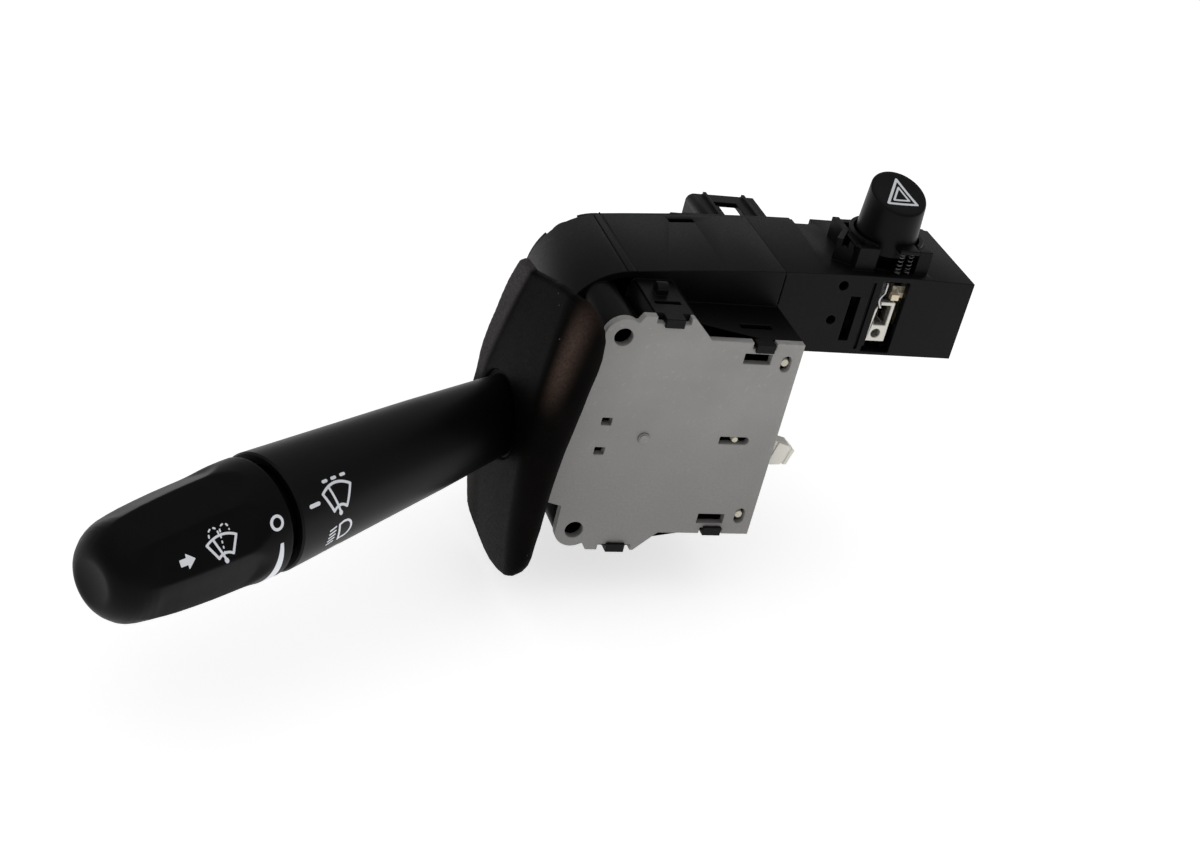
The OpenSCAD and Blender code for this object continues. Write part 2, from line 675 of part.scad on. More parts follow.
module connector_socket() {
    y0 = back_y + rear_t;
    y1 = y0 + socket_depth;
    low = socket_top - socket_h;
    right = socket_x + socket_w;
    r = 2.4;
    color(black) difference() {
        union() {
            along_y(y0, y1) difference() {
                union() {
                    translate([socket_x + r, low]) square([socket_w - r, socket_h]);
                    translate([socket_x, low]) square([socket_w, socket_h - r]);
                    translate([socket_x + r, socket_top - r]) circle(r = r);
                }
                translate([socket_x + 2, low + 2]) square([socket_w - 4, socket_h - 3.6]);
            }
            block([socket_x + 1, y0, low + 1], [right - 1, y0 + 1.6, socket_top - 1]);
            // Ribs along the top, beside the latch opening
            for (x = [socket_x + 5, right - 4.2]) block([x, y0, socket_top - 0.2], [x + 1.1, y1, socket_top + 0.8]);
            // Foot that reaches over the rear cover
            block([socket_x - 5.4, y0, socket_top - 3], [socket_x + 1, y0 + 2.6, socket_top - 0.6]);
        }
        // Latch opening
        block([socket_x + 7.8, y0 + 0.8, socket_top - 3], [socket_x + 14.3, y1 - 5, socket_top + 2]);
        block([socket_x + 6.4, y1 - 7.4, socket_top - 3], [socket_x + 8, y1 - 5, socket_top + 2]);
        for (x = [0:3], z = [0:1]) translate([socket_x + 4.3 + 4 * x, y0 - 1, low + 5.6 + 5 * z])
            cube([1.2, 4, 2.8]);
    }
}

module connector_pins() {
    low = socket_top - socket_h;
    color(brass) for (x = [0:3], z = [0:1]) translate([socket_x + 4.5 + 4 * x, back_y + 0.1, low + 5.7 + 5 * z])
        cube([0.8, rear_t + 8, 2.6]);
}

module hazard_contacts() {
    y = arm_y + wall;
    color(brass) {
        // Leaf behind the upper end of the window, folded over the front wall's edge
        block([window_x + 4.6, y, slider_high + 1.3], [window_x + 9.8, y + 0.4, slider_high + 5]);
        block([window_x + 4.4, y - 1.4, slider_high + 0.9], [window_x + 6.8, y + 0.2, slider_high + 2.7]);
        for (d = [7.7, 12.7]) block([button_x + d, button_y - 2, arm_bottom + wall],
            [button_x + d + 0.6, button_y + 4, slider_high]);
    }
}

module latch_wire() {
    color(steel) {
        translate([window_x + 1.6, arm_y + 0.4, 33.4]) cylinder(r = 0.35, h = 8.5, $fn = 16);
        translate([window_x + 1.6, arm_y + 0.4, 41.6]) rotate([-90, 0, 0]) cylinder(r = 0.35, h = 2.6, $fn = 16);
    }
}

module lever_carrier() {
    x0 = pivot_x - carrier_left;
    x1 = pivot_x + carrier_right;
    barrel_end = x1 + barrel_len;
    color(ivory) difference() {
        union() {
            block([x0, carrier_front, -carrier_half], [x1, carrier_back, carrier_half]);
            bar_y(pivot_x, 0, 5, rotor_y, carrier_front + 1);
            translate([x1 - 1, rock_y, 0]) rotate([0, 90, 0]) cylinder(r = plunger_d / 2 + 1.5, h = barrel_len + 1);
            along_y(rotor_y, rotor_y + rotor_t) {
                translate([pivot_x, -4.5]) square([18, 9]);
                translate([pivot_x + 18, 0]) circle(r = 4.5);
            }
        }
        block([x0 - 1, carrier_front + cheek_t, -carrier_half + cheek_t],
            [x1 - carrier_wall, carrier_back - cheek_t, carrier_half - cheek_t]);
        // Windows in the top and bottom bars
        for (y = [carrier_front + cheek_t + 1, rock_y + rock_r + 3])
            block([x0 + 4, y, -carrier_half - 1], [x1 - 5, y + 6, carrier_half + 1]);
        bar_y(pivot_x, 0, pivot_r + pin_fit, rotor_y - 1, carrier_front + cheek_t + 1);
        bar_y(pivot_x, 0, pivot_r + pin_fit, carrier_back - cheek_t - 1, carrier_back + 1);
        translate([pivot_x, rock_y, -carrier_half - 1]) cylinder(r = rock_r, h = 2 * carrier_half + 2);
        translate([x1 + 1, rock_y, 0]) rotate([0, 90, 0]) cylinder(r = plunger_d / 2 + pin_fit, h = barrel_end);
    }
}

module rock_pin() {
    color(steel) translate([pivot_x, rock_y, -carrier_half + 0.3]) cylinder(r = rock_r, h = 2 * carrier_half - 0.6);
}

module contact_bridge() {
    y0 = rotor_y - 0.7;
    color(brass) for (x = [9.6, 14.6]) {
        block([pivot_x + x, rotor_y - 0.4, -3.8], [pivot_x + x + 2.8, rotor_y, 3.8]);
        for (k = [-1, 1]) block([pivot_x + x + 0.4, y0, k * 2.6 - 0.7], [pivot_x + x + 2.4, rotor_y - 0.3, k * 2.6 + 0.7]);
    }
}

module detent_plunger() {
    r = plunger_d / 2;
    centre = pivot_x + nose_reach - r;
    color(steel) translate([0, rock_y, 0]) {
        difference() {
            union() {
                translate([pivot_x + carrier_right + 3.6, 0, 0]) rotate([0, 90, 0])
                    cylinder(r = r, h = centre - pivot_x - carrier_right - 3.6);
                intersection() {
                    translate([centre, 0, 0]) sphere(r = r);
                    block([centre - 0.01, -r, -r], [centre + r, r, r]);
                }
            }
            translate([pivot_x + carrier_right, 0, 0]) rotate([0, 90, 0]) cylinder(r = r - 0.9, h = 6.4);
        }
    }
}

module detent_spring() {
    x0 = pivot_x + carrier_right + 1.1;
    color(steel) translate([x0, rock_y, 0]) rotate([0, 90, 0]) coil(1.5, 0.3, 5, 4, 12);
}

module stalk_core() {
    r = root_d / 2 - tube_wall - seat_gap;
    color(ivory) difference() {
        union() {
            translate([pivot_x, rock_y, -carrier_half + cheek_t + run_gap])
                cylinder(r = 7, h = 2 * (carrier_half - cheek_t - run_gap));
            on_stalk(2) cylinder(r = neck_r, h = tube_root - 2);
            on_stalk(tube_root - 3) cylinder(r1 = neck_r, r2 = r, h = 3);
            on_stalk(tube_root - 0.01) cylinder(r = r, h = core_plug);
        }
        translate([pivot_x, rock_y, -carrier_half]) cylinder(r = rock_r + pin_fit, h = 2 * carrier_half);
    }
}

module stalk_tube() {
    bore = root_d / 2 - tube_wall;
    inner = tube_radius(plate_s) - tube_wall;
    color(black) on_stalk() difference() {
        rotate_extrude($fn = 96) polygon([
            [bore, tube_root], [root_d / 2, tube_root], [taper_d / 2, taper_s],
            [collar_r, collar_s - 0.6], [collar_r - 0.4, collar_s], [collar_r - 1.9, collar_s],
            [collar_r - 1.9, recess_s], [collar_r - 2.1, recess_s], [collar_r - 2.1, plate_s],
            [inner, plate_s], [bore + 0.8, tube_root + core_plug], [bore, tube_root + core_plug]]);
        // Wiring notch at the root
        translate([-3, -bore - tube_wall - 1, tube_root - 1]) cube([6, tube_wall + 2, 5]);
    }
}

module wiper_contact_plate() {
    color(board_brown) on_stalk(plate_s) difference() {
        cylinder(r = collar_r - 2.1 - seat_gap, h = recess_s - plate_s);
        translate([0, 0, -1]) cylinder(r = 4, h = 4);
    }
}

// Cross-section of the shroud: distance from the bow's axis against place across the stalk
function shroud_section() =
    let (base = shroud_bow - shroud_round, mid = shroud_near - 10.2, face = 17.5,
        c = cos(stalk_sweep), t = sin(stalk_sweep), end = 52.4,
        fold = [base + shroud_round * c - face * t, mid - shroud_round * t - face * c],
        last = [base + shroud_round * cos(end), mid + shroud_round * sin(end)])
    concat([[fold[0] - 0.8 - 0.2 * (shroud_far + 1.5 + fold[1] - 1.8), -shroud_far - 1.5],
        fold + [-0.8, -1.8], fold + [0.6, 1.2]],
        arc_points([base, mid], shroud_round, -stalk_sweep, end, 10),
        [last + (shroud_near + 0.3 - last[1]) / c * [-t, c]]);

// Outline of the shroud, seen along the stalk
module shroud_outline() {
    near = shroud_near;
    far = shroud_far;
    side_r = 205;
    polygon(concat(
        arc_points([near - 7.6, shroud_top - 7.6], 7.6, 0, 100, 7),
        [[6.8, shroud_top - 3.4], [-2, shroud_top - 6.4], [-4.5, shroud_top - 6.2]],
        arc_points([-far + 6.9, shroud_top - 9], 3.7, 95, 180, 4),
        [for (z = [30, 15, 0, -15, -30]) [side_r - far - sqrt(pow(side_r, 2) - z * z) - (z + 30) / 75, z]],
        arc_points([-far + 13.3, -shroud_bottom + 7], 7.2, 190, 290, 6),
        arc_points([near - 13.8, -shroud_bottom + 16.4], 7.5, 290, 352, 5),
        [[near - 5.4, -20], [near - 4, -4], [near - 3.1, 3], [near - 1.4, 12], [near - 0.5, 20]]));
}

module shroud_shell(profile) {
    sweep = 40;
    translate([0, 0, shroud_s - shroud_bow]) rotate([-90, 0, 0]) rotate([0, 0, -90 - sweep / 2])
        rotate_extrude(angle = sweep, $fn = 360) polygon(profile);
}

module stalk_shroud() {
    pts = shroud_section();
    inner = [for (i = [len(pts) - 1:-1:0]) pts[i] - [shroud_wall, 0]];
    deep = shroud_bow - 60;
    color(warm_black) on_stalk() difference() {
        union() {
            intersection() {
                shroud_shell(concat(pts, inner));
                rotate([0, 0, 90]) linear_extrude(90) shroud_outline();
            }
            // Sleeve that grips the stalk behind the shroud
            intersection() {
                translate([0, 0, tube_root + 3]) cylinder(r = tube_radius(shroud_s) + 1.6, h = 14);
                shroud_shell(concat([for (p = pts) p - [0.5, 0]],
                    [[deep, shroud_near], [deep, -shroud_far - 1.5]]));
            }
        }
        translate([0, 0, tube_root - 5]) cylinder(r1 = tube_radius(tube_root - 5) + seat_gap,
            r2 = tube_radius(taper_s) + seat_gap, h = taper_s - tube_root + 5);
        // Wider mouth round the stalk
        translate([0, 0, tube_root + 5]) cylinder(r1 = tube_radius(tube_root + 5) + 0.5,
            r2 = tube_radius(taper_s) + 0.5, h = taper_s - tube_root - 5);
    }
}

module knob_spindle() {
    color(black) on_stalk() rotate_extrude($fn = 96) polygon([
        [spindle_r - 2.4, recess_s + 0.8], [collar_r - 1.9 - run_gap, recess_s + 0.8],
        [collar_r - 1.9 - run_gap, collar_s - 3], [spindle_r, collar_s - 2.4],
        [spindle_r, spindle_end], [4, spindle_end], [4, spindle_end - 2],
        [spindle_r - 2.4, spindle_end - 2]]);
}

module wiper_contacts() {
    color(brass) on_stalk(recess_s + run_gap) for (a = [0, 120, 240]) rotate([0, 0, a])
        intersection() {
            difference() {
                cylinder(r = collar_r - 3.2, h = 0.5);
                translate([0, 0, -1]) cylinder(r = collar_r - 5.6, h = 3);
            }
            translate([0, -3, -1]) cube([14, 6, 3]);
        }
}

module washer_spring() {
    color(steel) on_stalk(spindle_end + 0.1) coil(6, 0.4, 6.8, 4, 16);
}

module wiper_knob() {
    shade = [0.1, 0.1, 0.105];
    cavity = spindle_end + 7;
    flat_r = knob_r - flat_depth;
    fr = [[0, knob_r - 0.5], [0.6, knob_r - 0.05], [10, knob_r - 0.2], [22, knob_r - 0.55],
        [32, knob_r - 1.25], [38.6, knob_r - 2.2], [42.4, knob_r - 3.5], [44.6, knob_r - 4.9],
        [46.4, knob_r - 6.6], [47.3, knob_r - 8], [47.7, knob_r - 9.4]];
    stretch = knob_len / 47.7;
    color(shade) on_stalk() difference() {
        rotate_extrude($fn = 96) polygon(concat(
            [[spindle_r + run_gap, knob_s + 1], [spindle_r + run_gap + 1, knob_s]],
            [for (p = fr) [p[1], knob_s + p[0] * stretch]],
            [[4, knob_end - 0.7], [0, knob_end - 0.8], [0, cavity], [spindle_r + run_gap, cavity]]));
        // Grip flats all round, behind a round rim
        for (k = [0 : 7]) rotate([0, 0, 216 - 45 * k]) rotate([90, 0, 90]) translate([0, 0, -20])
            linear_extrude(height = 40) polygon([[-40, knob_s + 4], [-knob_r - 1, knob_s + 4],
                [-flat_r, knob_s + 8], [flat_fall - flat_r, knob_end], [flat_fall - flat_r, knob_end + 5],
                [-40, knob_end + 5]]);
    }
}

module hazard_button() {
    h = button_top - skirt_z;
    color(black) translate([button_x, button_y, 0]) difference() {
        union() {
            translate([0, 0, skirt_z]) cylinder(r1 = button_r + draft, r2 = button_r - 0.3, h = h + 4);
            translate([-stem_half, -stem_half, 26]) cube([2 * stem_half, 2 * stem_half, skirt_z - 20]);
            // Lug that stands on the springs
            translate([-0.7, -12.3, lug_z]) cube([6.3, 8, 1.4]);
        }
        difference() {
            translate([0, 0, skirt_z - 1]) cylinder(r = button_r - 1.6, h = h - 5);
            translate([-stem_half, -stem_half, skirt_z - 2]) cube([2 * stem_half, 2 * stem_half, h]);
        }
        translate([0, 0, button_top]) rotate([button_slope, 0, 0]) translate([-20, -20, 0]) cube([40, 40, 20]);
    }
}

module hazard_slider() {
    x0 = window_x + run_gap;
    x1 = x0 + slider_w;
    y0 = arm_y + 1;
    y1 = button_y - stem_half;
    color([0.9, 0.88, 0.8]) difference() {
        union() {
            along_y(y0, y0 + 2.4) polygon([[x0, slider_low], [x1, slider_low], [x1, slider_high],
                [x0 + 1.6, slider_high], [x0, slider_high - 3]]);
            block([x0, y0 + 2.3, slider_low], [x1, y1, slider_low + 4.4]);
            block([x0 + 1.4, y1 - 3, slider_low + 4], [x1 - 0.6, y1, slider_high + 4]);
        }
        block([x0 + 1.1, y0 - 1, slider_low + 5.2], [x1 - 1, y0 + 4, slider_high - 1]);
        bar_y(x0 + 2.8, slider_low + 2.5, 1.5, y0 - 1, y0 + 3);
    }
}

module hazard_springs() {
    color(steel) for (p = spring_places) translate([button_x + p[0], button_y - p[1], crown_z + 0.05])
        coil(1.05, 0.27, lug_z - crown_z - 0.1, 4, 12);
}

switch_housing();
arm_housing();
rear_cover();
cover_screws();
cover_plate();
pivot_pin();
rear_pivot_pin();
contact_board();
contact_tracks();
detent_track();
cancel_guide();
connector_socket();
connector_pins();
hazard_contacts();
latch_wire();
lever_carrier();
rock_pin();
contact_bridge();
detent_spring();
detent_plunger();
stalk_core();
stalk_tube();
stalk_shroud();
wiper_contact_plate();
knob_spindle();
wiper_contacts();
washer_spring();
wiper_knob();
hazard_button();
hazard_slider();
hazard_springs();
pawl_slider();
pawl_spring();
cancel_pawl();
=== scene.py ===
import math
import bmesh
import bpy
from mathutils import Matrix, Vector


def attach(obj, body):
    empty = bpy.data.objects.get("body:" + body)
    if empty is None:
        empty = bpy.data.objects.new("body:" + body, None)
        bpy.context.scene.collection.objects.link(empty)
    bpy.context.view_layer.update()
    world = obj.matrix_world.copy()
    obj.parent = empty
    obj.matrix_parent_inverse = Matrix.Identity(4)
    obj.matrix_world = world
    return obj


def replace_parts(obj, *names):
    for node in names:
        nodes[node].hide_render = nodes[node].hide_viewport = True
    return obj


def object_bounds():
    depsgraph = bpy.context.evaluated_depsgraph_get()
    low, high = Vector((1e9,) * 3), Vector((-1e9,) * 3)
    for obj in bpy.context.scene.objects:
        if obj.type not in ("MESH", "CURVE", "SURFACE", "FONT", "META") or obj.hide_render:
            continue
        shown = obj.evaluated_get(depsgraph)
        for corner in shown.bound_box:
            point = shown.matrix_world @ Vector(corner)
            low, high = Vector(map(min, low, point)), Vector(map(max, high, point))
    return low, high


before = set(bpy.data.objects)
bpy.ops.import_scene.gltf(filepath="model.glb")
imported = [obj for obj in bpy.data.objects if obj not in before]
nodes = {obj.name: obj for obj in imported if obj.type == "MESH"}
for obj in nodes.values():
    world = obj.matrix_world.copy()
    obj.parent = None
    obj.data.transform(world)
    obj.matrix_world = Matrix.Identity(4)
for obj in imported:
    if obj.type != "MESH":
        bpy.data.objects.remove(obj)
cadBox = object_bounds()
scene = bpy.context.scene
mm = 0.001


def smoothStep(x):
    x = max(0.0, min(1.0, x))
    return x * x * (3 - 2 * x)


def between(x, xs, ys):  # straight-line look-up
    if x <= xs[0]:
        return ys[0]
    for i in range(1, len(xs)):
        if x <= xs[i]:
            return ys[i - 1] + (ys[i] - ys[i - 1]) * (x - xs[i - 1]) / (xs[i] - xs[i - 1])
    return ys[-1]


def makePiece(name, verts, faces, body, material, slot, smooth=True, sharpAngle=35):
    mesh = bpy.data.meshes.new(name)
    mesh.from_pydata([tuple(Vector(v) * mm) for v in verts], [], faces)
    mesh.validate()
    build = bmesh.new()
    build.from_mesh(mesh)
    bmesh.ops.recalc_face_normals(build, faces=build.faces)
    for edge in build.edges:
        if len(edge.link_faces) == 2 and edge.calc_face_angle(0) > math.radians(sharpAngle):
            edge.smooth = False
    for face in build.faces:
        face.smooth = smooth
    build.to_mesh(mesh)
    build.free()
    piece = bpy.data.objects.new(name, mesh)
    scene.collection.objects.link(piece)
    mesh.materials.append(material)
    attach(piece, body)
    return piece


def loftRings(rings, closeStart=True, closeEnd=True):
    # joins rings of equal length into one skin; a ring of one point is a pole
    verts, faces, starts = [], [], []
    for ring in rings:
        starts.append(len(verts))
        verts.extend(ring)
    for a in range(len(rings) - 1):
        b = a + 1
        na, nb = len(rings[a]), len(rings[b])
        n = max(na, nb)
        for k in range(n):
            i, j = k, (k + 1) % n
            if na == 1:
                faces.append((starts[a], starts[b] + j, starts[b] + i))
            elif nb == 1:
                faces.append((starts[a] + i, starts[a] + j, starts[b]))
            else:
                faces.append((starts[a] + i, starts[a] + j, starts[b] + j, starts[b] + i))
    if closeStart and len(rings[0]) > 1:
        faces.append(tuple(range(len(rings[0])))[::-1])
    if closeEnd and len(rings[-1]) > 1:
        faces.append(tuple(starts[-1] + k for k in range(len(rings[-1]))))
    return verts, faces


def tubeAlong(path, radius, sides=10):
    # round wire along a path, with closed ends
    rings = []
    normal = None
    for i, p in enumerate(path):
        ahead = (path[min(i + 1, len(path) - 1)] - path[max(i - 1, 0)]).normalized()
        if normal is None:
            normal = ahead.orthogonal().normalized()
        normal = (normal - ahead * normal.dot(ahead)).normalized()
        side = ahead.cross(normal)
        turns = [2 * math.pi * k / sides for k in range(sides)]
        rings.append([p + (normal * math.cos(a) + side * math.sin(a)) * radius for a in turns])
    return loftRings(rings)


def roundedBox(low, high, edge, steps=3):
    build = bmesh.new()
    bmesh.ops.create_cube(build, size=1)
    size = [high[k] - low[k] for k in range(3)]
    for v in build.verts:
        v.co = Vector([low[k] + (v.co[k] + 0.5) * size[k] for k in range(3)])
    bmesh.ops.bevel(build, geom=build.edges[:], offset=edge, segments=steps, profile=0.5, affect="EDGES")
    verts = [v.co.copy() for v in build.verts]
    index = {v: i for i, v in enumerate(build.verts)}
    faces = [tuple(index[v] for v in f.verts) for f in build.faces]
    build.free()
    return verts, faces


def strokeDistance(x, y, points, width):
    best = 1e9
    for (ax, ay), (bx, by) in zip(points, points[1:]):
        dx, dy = bx - ax, by - ay
        t = max(0.0, min(1.0, ((x - ax) * dx + (y - ay) * dy) / (dx * dx + dy * dy or 1e-12)))
        best = min(best, math.hypot(x - ax - t * dx, y - ay - t * dy))
    return best - width / 2


def areaDistance(x, y, points):
    inside, best = False, 1e9
    for (ax, ay), (bx, by) in zip(points, points[1:] + points[:1]):
        dx, dy = bx - ax, by - ay
        t = max(0.0, min(1.0, ((x - ax) * dx + (y - ay) * dy) / (dx * dx + dy * dy or 1e-12)))
        best = min(best, math.hypot(x - ax - t * dx, y - ay - t * dy))
        if (ay > y) != (by > y) and x < ax + (y - ay) * dx / dy:
            inside = not inside
    return -best if inside else best


def joinParts(*parts):
    verts, faces = [], []
    for partVerts, partFaces in parts:
        start = len(verts)
        verts.extend(partVerts)
        faces.extend(tuple(start + i for i in f) for f in partFaces)
    return verts, faces


def newGroup(name, inputs, outputs):
    tree = bpy.data.node_groups.new(name, "ShaderNodeTree")
    for label, kind, value in inputs:
        socket = tree.interface.new_socket(label, in_out="INPUT", socket_type=kind)
        socket.default_value = value
    for label, kind in outputs:
        tree.interface.new_socket(label, in_out="OUTPUT", socket_type=kind)
    return tree, tree.nodes.new("NodeGroupInput"), tree.nodes.new("NodeGroupOutput")


def addNode(tree, kind, inputs=None, **settings):
    node = tree.nodes.new(kind)
    for key, value in settings.items():
        setattr(node, key, value)
    for key, value in (inputs or {}).items():
        if isinstance(value, bpy.types.NodeSocket):
            tree.links.new(value, node.inputs[key])
        else:
            node.inputs[key].default_value = value
    return node


def mathNode(tree, operation, a, b=0.0, clamp=False):
    return addNode(tree, "ShaderNodeMath", {0: a, 1: b}, operation=operation, use_clamp=clamp).outputs[0]


def rangeNode(tree, value, low, high, toLow=0.0, toHigh=1.0):
    return addNode(tree, "ShaderNodeMapRange", {"Value": value, "From Min": low, "From Max": high,
                                                "To Min": toLow, "To Max": toHigh}).outputs["Result"]


def grainGroup():
    tree, enter, leave = newGroup("mouldedGrain", [("Scale", "NodeSocketFloat", 3000.0),
                                                   ("Drift Scale", "NodeSocketFloat", 60.0),
                                                   ("Pits", "NodeSocketFloat", 0.5)],
                                  [("Height", "NodeSocketFloat"), ("Tone", "NodeSocketFloat")])
    place = addNode(tree, "ShaderNodeTexCoord").outputs["Object"]
    fine = addNode(tree, "ShaderNodeTexNoise", {"Vector": place, "Scale": enter.outputs["Scale"], "Detail": 3.0,
                                                "Roughness": 0.6})
    cells = addNode(tree, "ShaderNodeTexVoronoi", {"Vector": place,
                                                   "Scale": mathNode(tree, "MULTIPLY", enter.outputs["Scale"], 0.7)},
                    feature="SMOOTH_F1")
    drift = addNode(tree, "ShaderNodeTexNoise", {"Vector": place, "Scale": enter.outputs["Drift Scale"],
                                                 "Detail": 5.0, "Roughness": 0.55})
    pits = mathNode(tree, "MULTIPLY", cells.outputs["Distance"], enter.outputs["Pits"])
    tree.links.new(mathNode(tree, "ADD", fine.outputs["Fac"], pits), leave.inputs["Height"])
    tree.links.new(rangeNode(tree, drift.outputs["Fac"], 0.3, 0.7), leave.inputs["Tone"])
    return tree


def speckGroup():
    tree, enter, leave = newGroup("looseSpecks", [("Scale", "NodeSocketFloat", 400.0),
                                                  ("Size", "NodeSocketFloat", 0.12),
                                                  ("Share", "NodeSocketFloat", 0.2)], [("Mask", "NodeSocketFloat")])
    place = addNode(tree, "ShaderNodeTexCoord").outputs["Object"]
    bend = addNode(tree, "ShaderNodeTexNoise", {"Vector": place, "Scale": 900.0, "Detail": 2.0})
    moved = addNode(tree, "ShaderNodeVectorMath", {0: bend.outputs["Color"]}, operation="SCALE")
    moved.inputs["Scale"].default_value = 0.0009
    shifted = addNode(tree, "ShaderNodeVectorMath", {0: place, 1: moved.outputs[0]}, operation="ADD").outputs[0]
    cells = addNode(tree, "ShaderNodeTexVoronoi", {"Vector": shifted, "Scale": enter.outputs["Scale"]}, feature="F1")
    near = mathNode(tree, "LESS_THAN", cells.outputs["Distance"], enter.outputs["Size"])
    pick = addNode(tree, "ShaderNodeSeparateColor", {"Color": cells.outputs["Color"]}).outputs["Red"]
    chosen = mathNode(tree, "LESS_THAN", pick, enter.outputs["Share"])
    tree.links.new(mathNode(tree, "MULTIPLY", near, chosen), leave.inputs["Mask"])
    return tree


def scuffGroup():
    tree, enter, leave = newGroup("faintScuffs", [("Scale", "NodeSocketFloat", 90.0),
                                                  ("Stretch", "NodeSocketFloat", 14.0),
                                                  ("Amount", "NodeSocketFloat", 0.5)], [("Mask", "NodeSocketFloat")])
    place = addNode(tree, "ShaderNodeTexCoord").outputs["Object"]
    masks = []
    for turn in ((0.3, 0.2, 0.7), (0.9, 0.5, -0.6)):
        turned = addNode(tree, "ShaderNodeMapping", {"Vector": place, "Rotation": turn})
        stretch = addNode(tree, "ShaderNodeCombineXYZ", {"X": enter.outputs["Stretch"], "Y": 1.0,
                                                         "Z": enter.outputs["Stretch"]})
        longWay = addNode(tree, "ShaderNodeVectorMath", {0: turned.outputs[0], 1: stretch.outputs[0]},
                          operation="MULTIPLY")
        lines = addNode(tree, "ShaderNodeTexNoise", {"Vector": longWay.outputs[0], "Scale": enter.outputs["Scale"],
                                                     "Detail": 2.0})
        masks.append(rangeNode(tree, lines.outputs["Fac"], 0.66, 0.72))
    both = mathNode(tree, "MAXIMUM", masks[0], masks[1])
    tree.links.new(mathNode(tree, "MULTIPLY", both, enter.outputs["Amount"]), leave.inputs["Mask"])
    return tree


# a soft-edged band in object space whose mask paints light and shade into a finish's colour
def patchGroup():
    tree, enter, leave = newGroup("paintedLightPatch", [("Place", "NodeSocketVector", (0.0, 0.0, 0.0)),
                                                 ("Across", "NodeSocketVector", (1.0, 0.0, 0.0)),
                                                 ("Half Width", "NodeSocketFloat", 0.003),
                                                 ("Softness", "NodeSocketFloat", 0.002),
                                                 ("Along", "NodeSocketVector", (0.0, 0.0, 1.0)),
                                                 ("Half Length", "NodeSocketFloat", 0.02),
                                                 ("Fade", "NodeSocketFloat", 0.01)], [("Mask", "NodeSocketFloat")])
    place = addNode(tree, "ShaderNodeTexCoord").outputs["Object"]
    offset = addNode(tree, "ShaderNodeVectorMath", {0: place, 1: enter.outputs["Place"]},
                     operation="SUBTRACT").outputs[0]
    masks = []
    for way, half, soft in (("Across", "Half Width", "Softness"), ("Along", "Half Length", "Fade")):
        along = addNode(tree, "ShaderNodeVectorMath", {0: offset, 1: enter.outputs[way]},
                        operation="DOT_PRODUCT").outputs["Value"]
        left = mathNode(tree, "SUBTRACT", enter.outputs[half], mathNode(tree, "ABSOLUTE", along))
        share = mathNode(tree, "DIVIDE", left, enter.outputs[soft], True)
        masks.append(addNode(tree, "ShaderNodeMapRange", {"Value": share},
                             interpolation_type="SMOOTHSTEP").outputs["Result"])
    rough = addNode(tree, "ShaderNodeTexNoise", {"Vector": place, "Scale": 1500.0, "Detail": 3.0})
    broken = rangeNode(tree, rough.outputs["Fac"], 0.2, 0.75, 0.45, 1.0)
    both = mathNode(tree, "MULTIPLY", masks[0], masks[1])
    tree.links.new(mathNode(tree, "MULTIPLY", both, broken), leave.inputs["Mask"])
    return tree


def wearGroup():
    tree, enter, leave = newGroup("edgeWear", [("Low", "NodeSocketFloat", 0.52), ("High", "NodeSocketFloat", 0.6),
                                               ("Breakup", "NodeSocketFloat", 700.0)], [("Mask", "NodeSocketFloat")])
    place = addNode(tree, "ShaderNodeTexCoord").outputs["Object"]
    ridge = addNode(tree, "ShaderNodeNewGeometry").outputs["Pointiness"]
    edge = rangeNode(tree, ridge, enter.outputs["Low"], enter.outputs["High"])
    rough = addNode(tree, "ShaderNodeTexNoise", {"Vector": place, "Scale": enter.outputs["Breakup"], "Detail": 4.0})
    patch = rangeNode(tree, rough.outputs["Fac"], 0.35, 0.6)
    tree.links.new(mathNode(tree, "MULTIPLY", edge, patch), leave.inputs["Mask"])
    return tree


grain, specks, scuffs, edgeWear, paintedLightPatch = grainGroup(), speckGroup(), scuffGroup(), wearGroup(), patchGroup()
print("shader groups made")


# the stalk's own frame: s along it, across it towards the driver, and down
stalk = dict(root=Vector((13.4, 36.8, 0.0)), sweep=32.6, droop=1.7, tubeRoot=41.0, rootRadius=10.4, taperAt=75.7,
             taperRadius=12.7, collarAt=132.5, collarRadius=15.6)
sweep, droop = math.radians(stalk["sweep"]), math.radians(stalk["droop"])
stalkAxis = Vector((-math.cos(sweep) * math.cos(droop), -math.sin(sweep) * math.cos(droop), -math.sin(droop)))
stalkSide = Vector((math.sin(sweep), -math.cos(sweep), 0.0))  # towards the driver
stalkDown = stalkAxis.cross(stalkSide)
if stalkDown.z > 0:
    stalkDown = -stalkDown


def stalkPoint(s, angle, radius):
    return stalk["root"] + stalkAxis * s + (stalkSide * math.cos(angle) + stalkDown * math.sin(angle)) * radius


def tubeRadius(s):
    return between(s, [stalk["tubeRoot"], stalk["taperAt"], stalk["collarAt"]],
                   [stalk["rootRadius"], stalk["taperRadius"], stalk["collarRadius"]])


def mixColor(tree, mask, first, second):
    node = tree.nodes.new("ShaderNodeMix")
    node.data_type = "RGBA"
    for index, value in ((0, mask), (6, first), (7, second)):
        if isinstance(value, bpy.types.NodeSocket):
            tree.links.new(value, node.inputs[index])
        elif index == 0:
            node.inputs[index].default_value = value
        else:
            node.inputs[index].default_value = (*value, 1.0)
    return node.outputs[2]


def useGroup(tree, group, **inputs):
    node = tree.nodes.new("ShaderNodeGroup")
    node.node_tree = group
    for key, value in inputs.items():
        node.inputs[key.replace("_", " ")].default_value = value
    return node


